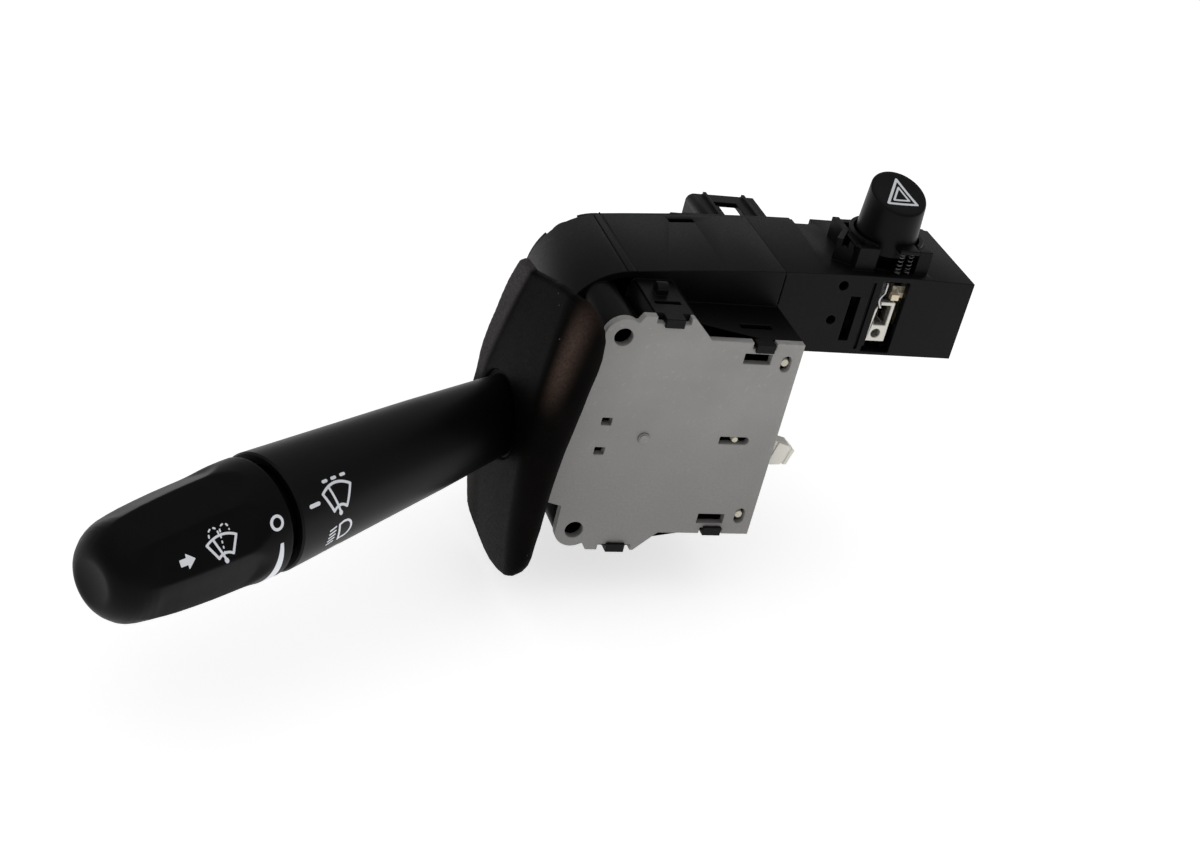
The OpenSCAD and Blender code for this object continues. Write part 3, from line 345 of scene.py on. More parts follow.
# what a finish has unless it says otherwise
plainLook = dict(grainHeights=(0.3, 1.1), driftScale=60.0, pits=0.5, speckScale=420.0, speckSize=0.1, speckShare=0.1,
                 speckPower=0.6, speckLift=0.6, scuffScale=90.0, scuffStretch=14.0, scuffs=0.4, scuffTint=0.35,
                 scuffShine=0.1, wearLow=0.53, wearHigh=0.62, wear=0.4, bump=0.3, bumpDepth=0.03, metal=0.0,
                 specular=0.5, patches=())


def makeFinish(name, ownLook):
    look = {**plainLook, **ownLook}
    material = bpy.data.materials.new(name)
    material.use_nodes = True
    tree = material.node_tree
    shader = tree.nodes["Principled BSDF"]
    body = useGroup(tree, grain, Scale=look["grainScale"], Drift_Scale=look["driftScale"], Pits=look["pits"])
    dots = useGroup(tree, specks, Scale=look["speckScale"], Size=look["speckSize"], Share=look["speckShare"])
    marks = useGroup(tree, scuffs, Scale=look["scuffScale"], Stretch=look["scuffStretch"], Amount=look["scuffs"])
    edges = useGroup(tree, edgeWear, Low=look["wearLow"], High=look["wearHigh"])

    def partOf(group, amount):
        return mathNode(tree, "MULTIPLY", group.outputs["Mask"], amount)

    color = mixColor(tree, body.outputs["Tone"], look["dark"], look["light"])
    color = mixColor(tree, partOf(edges, look["wear"]), color, look["worn"])
    color = mixColor(tree, partOf(marks, look["scuffTint"]), color, look["worn"])
    color = mixColor(tree, partOf(dots, look["speckPower"]), color, look["speck"])
    # painted light and shade: each patch mixes a lighter or darker tint into the colour
    for patch in look["patches"]:
        area = useGroup(tree, paintedLightPatch, Place=patch["place"], Across=patch["across"], Along=patch["along"],
                        Half_Width=patch["halfWidth"] * mm, Softness=patch["softness"] * mm,
                        Half_Length=patch["halfLength"] * mm, Fade=patch["fade"] * mm)
        color = mixColor(tree, area.outputs["Mask"], color, patch["tint"])
    tree.links.new(color, shader.inputs["Base Color"])
    rough = rangeNode(tree, body.outputs["Height"], *look["grainHeights"], *look["rough"])
    rough = mathNode(tree, "SUBTRACT", rough, partOf(marks, look["scuffShine"]), True)
    tree.links.new(rough, shader.inputs["Roughness"])
    lift = mathNode(tree, "ADD", body.outputs["Height"], partOf(dots, look["speckLift"]))
    bump = addNode(tree, "ShaderNodeBump", {"Height": lift, "Strength": look["bump"],
                                            "Distance": look["bumpDepth"] * mm})
    tree.links.new(bump.outputs["Normal"], shader.inputs["Normal"])
    shader.inputs["Metallic"].default_value = look["metal"]
    shader.inputs["Specular IOR Level"].default_value = look["specular"]
    return material


def onSheet(u, w):  # a spot on the shroud, in metres
    return tuple((stalk["root"] + stalkAxis * 52.0 + stalkSide * u - stalkDown * w) * mm)


def sheetWay(u, w):
    return tuple((stalkSide * u - stalkDown * w).normalized())


# painted light on the shroud: a lighter far facet, a lighter lower far side, and a warm painted reflection along the
# near roll
shroudPaintedLight = [
    # painted highlight: the far facet is lighter
    dict(place=onSheet(-16.0, 26.0), across=sheetWay(0.966, -0.26), halfWidth=9.5, softness=2.2,
         along=sheetWay(0.26, 0.966), halfLength=30.0, fade=14.0, tint=(0.078, 0.07, 0.073)),
    # painted light: the lower far side is lighter
    dict(place=onSheet(-20.0, -27.0), across=sheetWay(1.0, 0.0), halfWidth=15.0, softness=9.0,
         along=sheetWay(0.0, 1.0), halfLength=19.0, fade=10.0, tint=(0.052, 0.048, 0.045)),
    # painted reflection: a warm brown band along the near roll
    dict(place=onSheet(23.5, 33.0), across=sheetWay(0.998, -0.055), halfWidth=4.1, softness=4.1,
         along=sheetWay(0.055, 0.998), halfLength=20.0, fade=16.0, tint=(0.074, 0.049, 0.039)),
]
finishLooks = {
    "blackPlastic": dict(dark=(0.0012, 0.0011, 0.0013), light=(0.0028, 0.0026, 0.0029), worn=(0.01, 0.01, 0.0105),
                         speck=(0.05, 0.05, 0.05), grainScale=2600.0, rough=(0.36, 0.52), bump=0.35, bumpDepth=0.03,
                         specular=0.13, speckShare=0.035, speckSize=0.07, scuffs=0.5),
    "stalkPlastic": dict(dark=(0.0008, 0.0008, 0.001), light=(0.0018, 0.0017, 0.002), worn=(0.006, 0.006, 0.0065),
                         speck=(0.05, 0.05, 0.05), grainScale=4200.0, rough=(0.34, 0.46), bump=0.3, bumpDepth=0.02,
                         specular=0.13, speckShare=0.02, speckSize=0.06, scuffs=0.25),
    "knobPlastic": dict(dark=(0.001, 0.001, 0.0012), light=(0.0022, 0.0021, 0.0024), worn=(0.007, 0.007, 0.0075),
                        speck=(0.05, 0.05, 0.05), grainScale=4200.0, rough=(0.38, 0.5), bump=0.3, bumpDepth=0.02,
                        specular=0.08, speckShare=0.02, speckSize=0.06, scuffs=0.25),
    "shroudPlastic": dict(dark=(0.0014, 0.0011, 0.001), light=(0.0032, 0.0026, 0.0023), worn=(0.012, 0.0095, 0.0082),
                          speck=(0.16, 0.15, 0.14), patches=shroudPaintedLight, grainScale=2100.0, rough=(0.42, 0.58),
                          bump=0.3, bumpDepth=0.03, specular=0.02, speckShare=0.09, speckSize=0.075, scuffs=0.4,
                          pits=0.8),
    "buttonBlack": dict(dark=(0.001, 0.001, 0.0011), light=(0.0019, 0.0018, 0.002), worn=(0.007, 0.007, 0.0075),
                        speck=(0.05, 0.05, 0.05), grainScale=4800.0, rough=(0.32, 0.46), bump=0.25, bumpDepth=0.02,
                        specular=0.12, speckShare=0.02, speckSize=0.06, scuffs=0.2),
    "greyPlastic": dict(dark=(0.265, 0.259, 0.249), light=(0.315, 0.309, 0.298), worn=(0.44, 0.435, 0.42),
                        speck=(0.6, 0.6, 0.58), grainScale=2400.0, rough=(0.42, 0.58), bump=0.3, bumpDepth=0.03,
                        specular=0.4, speckShare=0.1, speckSize=0.055, speckPower=0.6, scuffs=0.7, driftScale=45.0,
                        wear=0.6),
    "ivoryPlastic": dict(dark=(0.6, 0.56, 0.43), light=(0.7, 0.66, 0.54), worn=(0.8, 0.77, 0.68),
                         speck=(0.3, 0.27, 0.2), grainScale=2400.0, rough=(0.34, 0.5), bump=0.2, bumpDepth=0.02,
                         speckShare=0.05, speckSize=0.06, scuffs=0.3),
    "whitePlastic": dict(dark=(0.74, 0.72, 0.64), light=(0.84, 0.82, 0.75), worn=(0.84, 0.82, 0.76),
                         speck=(0.35, 0.32, 0.26), grainScale=2600.0, rough=(0.3, 0.46), bump=0.2, bumpDepth=0.02,
                         speckShare=0.05, speckSize=0.06, scuffs=0.3),
    "springSteel": dict(dark=(0.4, 0.4, 0.41), light=(0.56, 0.56, 0.57), worn=(0.7, 0.7, 0.7),
                        speck=(0.2, 0.19, 0.18), grainScale=5200.0, rough=(0.2, 0.36), bump=0.25, bumpDepth=0.01,
                        metal=1.0, scuffs=0.6, scuffScale=240.0),
    "dullSteel": dict(dark=(0.1, 0.1, 0.105), light=(0.2, 0.2, 0.205), worn=(0.3, 0.3, 0.3),
                      speck=(0.05, 0.05, 0.045), grainScale=5200.0, rough=(0.26, 0.4), bump=0.25, bumpDepth=0.01,
                      metal=1.0, scuffs=0.6, scuffScale=240.0),
    "brassStrip": dict(dark=(0.55, 0.4, 0.17), light=(0.68, 0.52, 0.25), worn=(0.8, 0.66, 0.38),
                       speck=(0.25, 0.16, 0.08), grainScale=5200.0, rough=(0.24, 0.42), bump=0.25, bumpDepth=0.01,
                       metal=1.0, scuffs=0.6, scuffScale=240.0),
    "boardBrown": dict(dark=(0.1, 0.055, 0.024), light=(0.16, 0.09, 0.042), worn=(0.24, 0.15, 0.08),
                       speck=(0.3, 0.2, 0.11), grainScale=1800.0, rough=(0.4, 0.6), bump=0.3, bumpDepth=0.02,
                       scuffs=0.7, scuffStretch=30.0),
    "printedWhite": dict(dark=(0.78, 0.8, 0.85), light=(0.88, 0.9, 0.94), worn=(0.6, 0.61, 0.64),
                         speck=(0.3, 0.31, 0.34), grainScale=4200.0, rough=(0.45, 0.6), bump=0.2, bumpDepth=0.01,
                         specular=0.3, speckShare=0.1, speckSize=0.1, speckPower=0.3, scuffs=0.2),
}
finishLooks["greyPlastic"]["patches"] = [  # painted shade: the plate is a little darker towards its foot
    dict(place=(0.0, 0.0, -0.045), across=(0.0, 0.0, 1.0), halfWidth=75.0, softness=60.0, along=(1.0, 0.0, 0.0),
         halfLength=80.0, fade=5.0, tint=(0.208, 0.203, 0.196))]
# painted shade darkens the slider's opening and hole in its colour
finishLooks["whiteWithPaintedShade"] = dict(finishLooks["whitePlastic"], patches=[
    dict(place=(0.0879, 0.0276, 0.0285), across=(0.0, 1.0, 0.0), halfWidth=4.9, softness=0.25, along=(1.0, 0.0, 0.0),
         halfLength=2.7, fade=0.3, tint=(0.03, 0.026, 0.02))])
# painted shade: a dark band across the contact leaf
finishLooks["contactLeaf"] = dict(
    finishLooks["brassStrip"], dark=(0.66, 0.56, 0.42), light=(0.76, 0.67, 0.53), metal=0.3,
    patches=[dict(place=(0.0918, 0.0235, 0.0398), across=(0.0, 0.0, 1.0), halfWidth=2.1, softness=0.25,
                  along=(1.0, 0.0, 0.0), halfLength=9.0, fade=1.0, tint=(0.02, 0.016, 0.011))])
finish = {name: makeFinish(name, look) for name, look in finishLooks.items()}
print("finishes made:", len(finish))


softening = dict(weld=0.002, flatAngle=0.6, steps=2, edgeAngle=38)  # mm and degrees


def softenEdges(obj, width):
    weld = obj.modifiers.new("weld", "WELD")
    weld.merge_threshold = softening["weld"] * mm
    flat = obj.modifiers.new("flat", "DECIMATE")
    flat.decimate_type = "DISSOLVE"
    flat.angle_limit = math.radians(softening["flatAngle"])
    bevel = obj.modifiers.new("edges", "BEVEL")
    bevel.width = width * mm
    bevel.segments = softening["steps"]
    bevel.limit_method = "ANGLE"
    bevel.angle_limit = math.radians(softening["edgeAngle"])
    bevel.use_clamp_overlap = False
    bevel.harden_normals = False
    bevel.miter_outer = "MITER_ARC"


nodeFinish = {
    "blackPlastic": ["switch_housing", "arm_housing", "rear_cover", "connector_socket", "knob_spindle"],
    "stalkPlastic": ["stalk_tube"],
    "shroudPlastic": ["stalk_shroud"],
    "greyPlastic": ["cover_plate", "pivot_pin"],
    "ivoryPlastic": ["detent_track", "cancel_guide", "lever_carrier", "stalk_core", "pawl_slider"],
    "whitePlastic": ["cancel_pawl"],
    "whiteWithPaintedShade": ["hazard_slider"],
    "springSteel": ["cover_screws", "rear_pivot_pin", "rock_pin", "detent_plunger", "detent_spring", "washer_spring",
                    "pawl_spring", "latch_wire"],
    "dullSteel": ["hazard_springs"],
    "brassStrip": ["contact_tracks", "contact_bridge", "wiper_contacts", "connector_pins"],
    "contactLeaf": ["hazard_contacts"],
    "boardBrown": ["contact_board", "wiper_contact_plate"],
    "buttonBlack": ["hazard_button"],
    "knobPlastic": ["wiper_knob"],
}
edgeWidths = {"switch_housing": 0.22, "arm_housing": 0.2, "rear_cover": 0.25, "connector_socket": 0.22,
              "cover_plate": 0.22, "cancel_pawl": 0.2, "hazard_slider": 0.18, "lever_carrier": 0.25,
              "detent_track": 0.2, "cancel_guide": 0.2, "pawl_slider": 0.2}
for name, members in nodeFinish.items():
    for member in members:
        obj = nodes[member]
        if not obj.material_slots:
            obj.data.materials.append(finish[name])
        for materialSlot in obj.material_slots:
            materialSlot.material = finish[name]
for member, width in edgeWidths.items():
    softenEdges(nodes[member], width)
print("solids finished:", sum(len(m) for m in nodeFinish.values()))


# one bowed sheet with a crease on the far side and a rolled near edge, cut to a free outline of (u, w) points
shroud = dict(crestAt=56.77, bow=400.0, rollCentre=20.5, rollRadius=7.5, tilt=28.0, rollEnd=58.0, farSlope=0.2,
              wall=2.2, edge=1.0, hole=11.8, step=0.5, field=(-18, -49, 31, 50), sleeveWall=0.8, sleeveBite=0.15,
              sleeveLow=5.0, sleeveHigh=1.2, sleeveSides=64)
creaseAcross = ((-52, -8), (-20, -9), (-8, -11), (0, -12.6), (4.3, -13.0), (9.8, -10.5), (20.4, -7.7), (25.1, -6.2),
                (30.4, -4.6), (36.8, -3.2), (42.1, -2.2), (52, -0.7))
creaseWidth = ((-52, 12), (-12, 10), (0, 6), (8, 3.2), (30, 2.0), (52, 1.4))
shroudOutline = [(-7.8, 42.9), (-8.7, 42.2), (-9.7, 39.0), (-10.7, 35.6), (-11.7, 30.7), (-12.8, 25.0),
                 (-14.2, 19.4), (-15.4, 13.1), (-16.0, 7.7), (-16.5, 3.7), (-16.7, -0.7), (-16.2, -9.0),
                 (-14.8, -18.0), (-13.0, -26.0), (-12.0, -30.7), (-11.5, -35.2), (-11.0, -39.1), (-9.5, -41.6),
                 (-7.0, -43.6), (-2.7, -45.6), (1.8, -46.7), (6.2, -46.9), (12.2, -45.2), (17.4, -42.6),
                 (20.7, -40.4), (22.7, -38.1), (24.1, -35.2), (24.8, -32.0), (25.2, -28.0), (25.9, -21.6),
                 (26.3, -15.1), (26.6, -9.2), (27.0, -2.3), (27.4, 4.3), (27.9, 10.8), (28.3, 17.2), (28.6, 23.8),
                 (28.9, 28.9), (28.9, 32.7), (28.5, 37.7), (27.8, 40.8), (26.8, 43.8), (25.6, 45.9), (24.2, 47.3),
                 (22.5, 48.1), (19.0, 48.3), (12.3, 46.9), (4.8, 44.5), (-2.2, 42.2), (-4.6, 42.9), (-6.4, 43.2)]


def shroudHeight(u, w):
    tilt, end = math.radians(shroud["tilt"]), math.radians(shroud["rollEnd"])
    r, centre = shroud["rollRadius"], shroud["rollCentre"]
    low, high = centre - r * math.sin(tilt), centre + r * math.sin(end)
    if u > high:
        rise = r * math.cos(end) - r - (u - high) * math.tan(end)
    elif u > low:
        rise = math.sqrt(r * r - (u - centre) ** 2) - r
    else:
        crease = between(w, [p[0] for p in creaseAcross], [p[1] for p in creaseAcross])
        soft = between(w, [p[0] for p in creaseWidth], [p[1] for p in creaseWidth])
        steep, gentle = math.tan(tilt), shroud["farSlope"]
        past = crease - u
        if past < -soft / 2:
            rise = -(low - u) * steep
        elif past > soft / 2:
            rise = -(low - crease) * steep - past * gentle
        else:
            t = (past + soft / 2) / soft
            rise = -(low - crease - soft / 2) * steep - soft * (steep * t + (gentle - steep) * t * t / 2)
        rise += r * math.cos(tilt) - r
    return shroud["crestAt"] - w * w / shroud["bow"] + rise


def fieldMesh(field, box, place, step, rise, sink, edge=0.0):
    # turns the region where the field is below zero into a closed sheet between rise and -sink
    x0, y0, x1, y1 = box
    nx, ny = int((x1 - x0) / step) + 1, int((y1 - y0) / step) + 1
    values = [[field(x0 + i * step, y0 + j * step) for j in range(ny + 1)] for i in range(nx + 1)]
    flat, index, cells = [], {}, []

    def corner(i, j):
        if (i, j) not in index:
            index[(i, j)] = len(flat)
            flat.append((x0 + i * step, y0 + j * step, values[i][j]))
        return index[(i, j)]

    def crossing(a, b):
        (ai, aj), (bi, bj) = min(a, b), max(a, b)
        key = (ai, aj, bi, bj)
        if key not in index:
            va, vb = values[ai][aj], values[bi][bj]
            t = min(0.98, max(0.02, va / (va - vb)))  # kept off the corners, so that no face shrinks to nothing
            index[key] = len(flat)
            flat.append((x0 + (ai + (bi - ai) * t) * step, y0 + (aj + (bj - aj) * t) * step, 0.0))
        return index[key]

    for i in range(nx):
        for j in range(ny):
            around = [(i, j), (i + 1, j), (i + 1, j + 1), (i, j + 1)]
            inside = [values[a][b] < 0 for a, b in around]
            cell = []
            for k in range(4):
                if inside[k]:
                    cell.append(corner(*around[k]))
                if inside[k] != inside[(k + 1) % 4]:
                    cell.append(crossing(around[k], around[(k + 1) % 4]))
            if any(inside) and len(cell) > 2:
                cells.append(tuple(cell))
    count = len(flat)

    def rounding(value):
        near = max(0.0, edge + value)
        return edge - math.sqrt(max(0.0, edge * edge - near * near))

    verts = [place(x, y, rise - rounding(v)) for x, y, v in flat] + [place(x, y, -sink) for x, y, v in flat]
    faces = list(cells) + [tuple(count + i for i in cell)[::-1] for cell in cells]
    used = {(a, b) for cell in cells for a, b in zip(cell, cell[1:] + cell[:1])}
    faces += [(b, a, count + a, count + b) for a, b in sorted(used) if (b, a) not in used]
    return verts, faces


def buildShroud():
    def place(u, w, lift):
        return stalk["root"] + stalkAxis * (shroudHeight(u, w) + lift) + stalkSide * u - stalkDown * w

    def field(u, w):
        return max(areaDistance(u, w, shroudOutline), shroud["hole"] - math.hypot(u, w))

    sheet = fieldMesh(field, shroud["field"], place, shroud["step"], 0.0, shroud["wall"], shroud["edge"])
    turns = [2 * math.pi * k / shroud["sleeveSides"] for k in range(shroud["sleeveSides"])]
    low, high = shroud["sleeveLow"], shroud["sleeveHigh"]
    rings = []
    # sleeve that grips the stalk
    for outside, drop in ((False, low), (True, low), (True, high), (False, high), (False, low)):
        ring = []
        for a in turns:
            s = shroudHeight(shroud["hole"] * math.cos(a), shroud["hole"] * math.sin(a)) - drop
            radius = shroud["hole"] + shroud["sleeveWall"] if outside else tubeRadius(s) - shroud["sleeveBite"]
            ring.append(stalk["root"] + stalkAxis * s + (stalkSide * math.cos(a) - stalkDown * math.sin(a)) * radius)
        rings.append(ring)
    sleeve = loftRings(rings, False, False)
    verts, faces = joinParts(sheet, sleeve)
    piece = makePiece("stalkShroud", verts, faces, "stalk", finish["shroudPlastic"], "shroud_plastic", sharpAngle=50)
    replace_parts(piece, "stalk_shroud")


# eight panels that start behind a round rim, and a dished end
knob = dict(start=135.3, length=47.7, rimRadius=15.5, printRadius=15.1, panels=8, panelAt=-36.0, panelStart=140.6,
            panelRun=5.0, panelCurve=4.6, panelDepth=0.8, hollow=0.16, fadeAt=170.5, fadeRun=9.0, around=256,
            ringGap=0.5, rings=93, dish=0.58)
# how far the outside has fallen in, at each distance from the rim
knobFall = [(0.0, 0.5), (0.25, 0.2), (0.6, 0.05), (3.0, 0.02), (10.0, 0.2), (16.0, 0.34), (22.0, 0.55), (27.0, 0.85),
            (32.0, 1.25), (35.5, 1.68), (38.6, 2.2), (40.6, 2.78), (42.4, 3.5), (43.6, 4.15), (44.6, 4.9),
            (45.6, 5.72), (46.4, 6.6), (46.9, 7.3), (47.3, 8.0), (47.55, 8.7), (47.7, 9.4)]
# the inside, from the end of its hollow to the rim: place along the stalk, radius
knobBore = [(172.0, 11.9), (171.6, 12.3), (150.0, 12.3), (136.2, 12.3), (135.6, 12.55), (135.3, 13.2)]
knobDish = [(0.85, 0.12), (0.65, 0.3), (0.4, 0.48), (0.15, 0.56)]  # share of the radius, depth


def knobRadius(s, angle):
    fall = between(s - knob["start"], [p[0] for p in knobFall], [p[1] for p in knobFall])
    base = knob["rimRadius"] - fall
    half = 180.0 / knob["panels"]
    off = ((math.degrees(angle) - knob["panelAt"] + half) % (2 * half)) - half
    share = abs(off) / half
    reach = smoothStep((s - knob["panelStart"] - knob["panelCurve"] * share ** 2) / knob["panelRun"])
    reach *= 1 - smoothStep((s - knob["fadeAt"]) / knob["fadeRun"])
    flat = base * (1 - math.cos(math.radians(half)) / math.cos(math.radians(off)))
    dish = knob["hollow"] * (1 - share ** 2) ** 2
    return base - reach * (flat * knob["panelDepth"] + dish)


def buildKnob():
    n = knob["around"]
    end = knob["start"] + knob["length"]
    turns = [2 * math.pi * k / n for k in range(n)]
    rings = [[stalkPoint(knobBore[0][0], 0, 0)]] + [[stalkPoint(s, a, r) for a in turns] for s, r in knobBore]
    places = sorted({p[0] for p in knobFall} | {knob["ringGap"] * i for i in range(1, knob["rings"] + 1)})
    for along in places:
        rings.append([stalkPoint(knob["start"] + along, a, knobRadius(knob["start"] + along, a)) for a in turns])
    for share, depth in knobDish:
        rings.append([stalkPoint(end - depth, a, knobRadius(end, a) * share) for a in turns])
    rings.append([stalkPoint(end - knob["dish"], 0, 0)])
    verts, faces = loftRings(rings)
    piece = makePiece("wiperKnob", verts, faces, "knob", finish["knobPlastic"], "stalk_plastic", sharpAngle=50)
    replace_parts(piece, "wiper_knob")


buildShroud()
buildKnob()
print("shroud and knob made")


# a drafted cap with a sloping, slightly dished top, its stem and the lug over the springs
button = dict(x=88.3, y=35.0, top=64.2, radius=8.7, draft=0.6, lean=0.72, slope=19.0, skirt=47.6, footEdge=0.25,
              footRise=0.012, edge=0.7, edgeSteps=6, wall=1.6, roof=4.0, dish=0.25, dishRadius=8.0,
              wallRings=(0.2, 0.4, 0.6, 0.8, 0.92), topRings=(0.8, 0.6, 0.4, 0.2), stemHalf=3.0, stemLow=26.0,
              stemRise=6.0, stemEdge=0.4, lugNear=(-0.7, -12.3), lugFar=(5.6, -4.5), lugHeight=50.4, lugThick=1.4,
              lugEdge=0.3, around=128)
buttonHollow = ((-0.5, 0.74), (0.0, 0.72), (0.0, 0.05), (0.2, 0.0))  # radius beyond the wall, share of the height


def buildButton():
    b = button
    n = b["around"]
    slope = math.tan(math.radians(b["slope"]))
    turns = [2 * math.pi * k / n for k in range(n)]

    def ring(radius, share, drop=0.0):
        points = []
        for a in turns:
            x, y = radius * math.cos(a), radius * math.sin(a)
            top = b["top"] + y * slope - drop
            points.append(Vector((b["x"] + x, b["y"] + y, b["skirt"] + (top - b["skirt"]) * share)))
        return points

    def wallRadius(share):
        return b["radius"] + b["draft"] - b["lean"] * share

    inside, foot, outer = b["radius"] - b["wall"], wallRadius(0), wallRadius(1.0)
    rings = [[Vector((b["x"], b["y"], b["top"] - b["roof"]))]]
    rings += [ring(inside + beyond, share) for beyond, share in buttonHollow]
    rings += [ring(foot - b["footEdge"], 0.0), ring(foot, b["footRise"])]
    rings += [ring(wallRadius(share), share) for share in b["wallRings"]]
    for k in range(b["edgeSteps"] + 1):
        a = math.pi / 2 * k / b["edgeSteps"]
        rings.append(ring(outer - b["edge"] * (1 - math.cos(a)), 1.0, b["edge"] * (1 - math.sin(a))))
    for share in b["topRings"]:
        rings.append(ring((outer - b["edge"]) * share, 1.0, b["dish"] * (1 - share ** 2)))
    rings.append([Vector((b["x"], b["y"], b["top"] - b["dish"]))])
    half, near, far = b["stemHalf"], b["lugNear"], b["lugFar"]
    stem = roundedBox((b["x"] - half, b["y"] - half, b["stemLow"]),
                      (b["x"] + half, b["y"] + half, b["skirt"] + b["stemRise"]), b["stemEdge"])
    lug = roundedBox((b["x"] + near[0], b["y"] + near[1], b["lugHeight"]),
                     (b["x"] + far[0], b["y"] + far[1], b["lugHeight"] + b["lugThick"]), b["lugEdge"])
    verts, faces = joinParts(loftRings(rings), stem, lug)
    piece = makePiece("hazardButton", verts, faces, "hazard", finish["buttonBlack"], "button_black", sharpAngle=40)
    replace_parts(piece, "hazard_button")


buildButton()
print("button made")


# the lower half stands on the housing, the upper half goes down with the button between its turns
springs = dict(places=((0.8, 10.9), (4.1, 10.3)), wire=0.16, radius=0.85, low=43.85, height=6.5, pitch=1.2,
               endTurn=0.4, perTurn=28)


def springHalves():
    reach = springs["height"] / 2 - springs["wire"]
    count = int(springs["perTurn"] * (1 + (reach - springs["endTurn"]) / springs["pitch"]))
    lows, highs = [], []
    for dx, dy in springs["places"]:
        middle = Vector((button["x"] + dx, button["y"] - dy, springs["low"] + springs["height"] / 2))
        half = []
        for k in range(count + 1):
            turns = k / springs["perTurn"]
            lift = springs["endTurn"] * turns if turns < 1 else springs["endTurn"] + springs["pitch"] * (turns - 1)
            angle = 2 * math.pi * (k - count) / springs["perTurn"]
            half.append(Vector((springs["radius"] * math.cos(angle), springs["radius"] * math.sin(angle),
                                lift - reach)))
        lows.append(tubeAlong([middle + p for p in half], springs["wire"]))
        highs.append(tubeAlong([middle + Vector((p.x, -p.y, -p.z)) for p in half[::-1]], springs["wire"]))
    return joinParts(*lows), joinParts(*highs)


lowHalves, highHalves = springHalves()
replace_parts(makePiece("buttonSprings", *lowHalves, "housing", finish["dullSteel"], "steel"), "hazard_springs")
makePiece("buttonSpringTops", *highHalves, "hazard", finish["dullSteel"], "steel")


# a wire with a hook at its foot that bends back at its top
latch = dict(x=86.2, y=21.8, low=33.6, hook=1.1, hookHeight=4.8, bendAt=41.0, bend=0.6, back=24.3, wire=0.35)


def latchPath():
    x, y, low, height = latch["x"], latch["y"], latch["low"], latch["hookHeight"]
    path = [Vector((x - latch["hook"] * math.sin(math.pi * k / 12), y, low + height * k / 12)) for k in range(13)]
    straight = latch["bendAt"] - low - height
    path += [Vector((x, y, low + height + straight * k / 4)) for k in range(1, 5)]
    for k in range(1, 7):
        a = math.pi / 2 * k / 6
        path.append(Vector((x, y + latch["bend"] * (1 - math.cos(a)), latch["bendAt"] + latch["bend"] * math.sin(a))))
    return path + [Vector((x, latch["back"], latch["bendAt"] + latch["bend"]))]


verts, faces = tubeAlong(latchPath(), latch["wire"])
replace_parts(makePiece("latchWire", verts, faces, "housing", finish["springSteel"], "steel"), "latch_wire")
print("wire parts made")


def arcPoints(cx, cy, radius, start, stop, count=14):
    turns = [math.radians(start + (stop - start) * k / count) for k in range(count + 1)]
    return [(cx + radius * math.cos(a), cy + radius * math.sin(a)) for a in turns]


def dashed(points, dash, gap):
    # cuts a line into dashes
    out, current, left, on = [], [points[0]], dash, True
    for a, b in zip(points, points[1:]):
        span = math.hypot(b[0] - a[0], b[1] - a[1])
        done = 0.0
        while span - done > left:
            done += left
            p = (a[0] + (b[0] - a[0]) * done / span, a[1] + (b[1] - a[1]) * done / span)
            if on:
                out.append(current + [p])
            current, on = [p], not on
            left = dash if on else gap
        left -= span - done
        if on:
            current.append(b)
    if on and len(current) > 1:
        out.append(current)
    return out


# printed symbols are strokes laid on the surface as a thin raised print
printing = dict(step=0.16, rise=0.035, sink=0.05)


def markMesh(strokes, areas, box, place):
    def field(x, y):
        return min([strokeDistance(x, y, p, w) for p, w in strokes] + [areaDistance(x, y, p) for p in areas])

    return fieldMesh(field, box, place, printing["step"], printing["rise"], printing["sink"])


def onTube(s0, arc0):
    radius = tubeRadius(s0)

    def place(x, y, lift):
        s = s0 - x
        return stalkPoint(s, (arc0 - y) / radius, tubeRadius(s) + lift)
    return place


def onKnob(s0, arc0):
    def place(x, y, lift):
        s = s0 - x
        angle = (arc0 - y) / knob["printRadius"]
        return stalkPoint(s, angle, knobRadius(s, angle) + lift)
    return place


line = 0.72  # width of the printed lines


def screenOutline(half, top, rise, footHalf, foot, dip):
    upper = [(half * k / 8, top + rise * (1 - (k / 8) ** 2)) for k in range(-8, 9)]
    lower = [(footHalf * k / 5, foot + dip * (1 - (k / 5) ** 2)) for k in range(5, -6, -1)]
    return upper + lower + [upper[0]]


def pausesStrokes():  # wiper with three dashes over the screen
    screen = (screenOutline(4.75, 2.1, 1.65, 2.2, -3.0, 1.0), line)
    blade = ([(-2.2, 3.0), (-0.1, -3.8)], 0.68)
    pivot = ([(-0.1, -3.95), (0.0, -4.15)], 1.2)
    return [screen, blade, pivot] + [([(x, 4.9), (x + 1.05, 4.9)], 0.85) for x in (-3.2, -0.2, 2.9)]


def washerStrokes():  # wiper with two dashed jets
    screen = (screenOutline(4.3, 1.4, 1.35, 2.1, -2.7, 0.75), 0.66)
    blade = ([(-2.2, 2.1), (-0.3, -3.5)], 0.62)
    pivot = ([(-0.3, -3.65), (-0.22, -3.85)], 1.15)
    leftJet = [(-3.05, 3.1)] + arcPoints(-1.7, 3.75, 1.3, 185, 5) + [(-0.3, 3.3)]
    rightJet = [(0.35, 3.5)] + arcPoints(1.55, 3.75, 1.25, 180, -5) + [(2.85, 3.2)]
    strokes = [screen, blade, pivot] + [(d, 0.42) for d in dashed([(0.1, 2.4), (-0.15, -1.8)], 0.4, 0.95)]
    return strokes + [(d, 0.46) for jet in (leftJet, rightJet) for d in dashed(jet, 0.55, 1.0)]


def lampStrokes(tilt):
    bowl = arcPoints(1.15, 0.15, 2.7, 68, -68, 16)
    lamp = [(-0.55, 2.3), (0.9, 2.75)] + bowl + [(0.6, -2.5), (0.1, -2.75), (-0.55, 2.3)]
    beams = [([(-3.7, 1.9 - 1.15 * k - tilt), (-1.75, 1.9 - 1.15 * k + 0.25)], 0.5) for k in range(5)]
    return [(lamp, 0.66)] + beams


speedBand = dict(thin=0.48, growth=1.55, shift=0.2, length=17.5, steps=24)


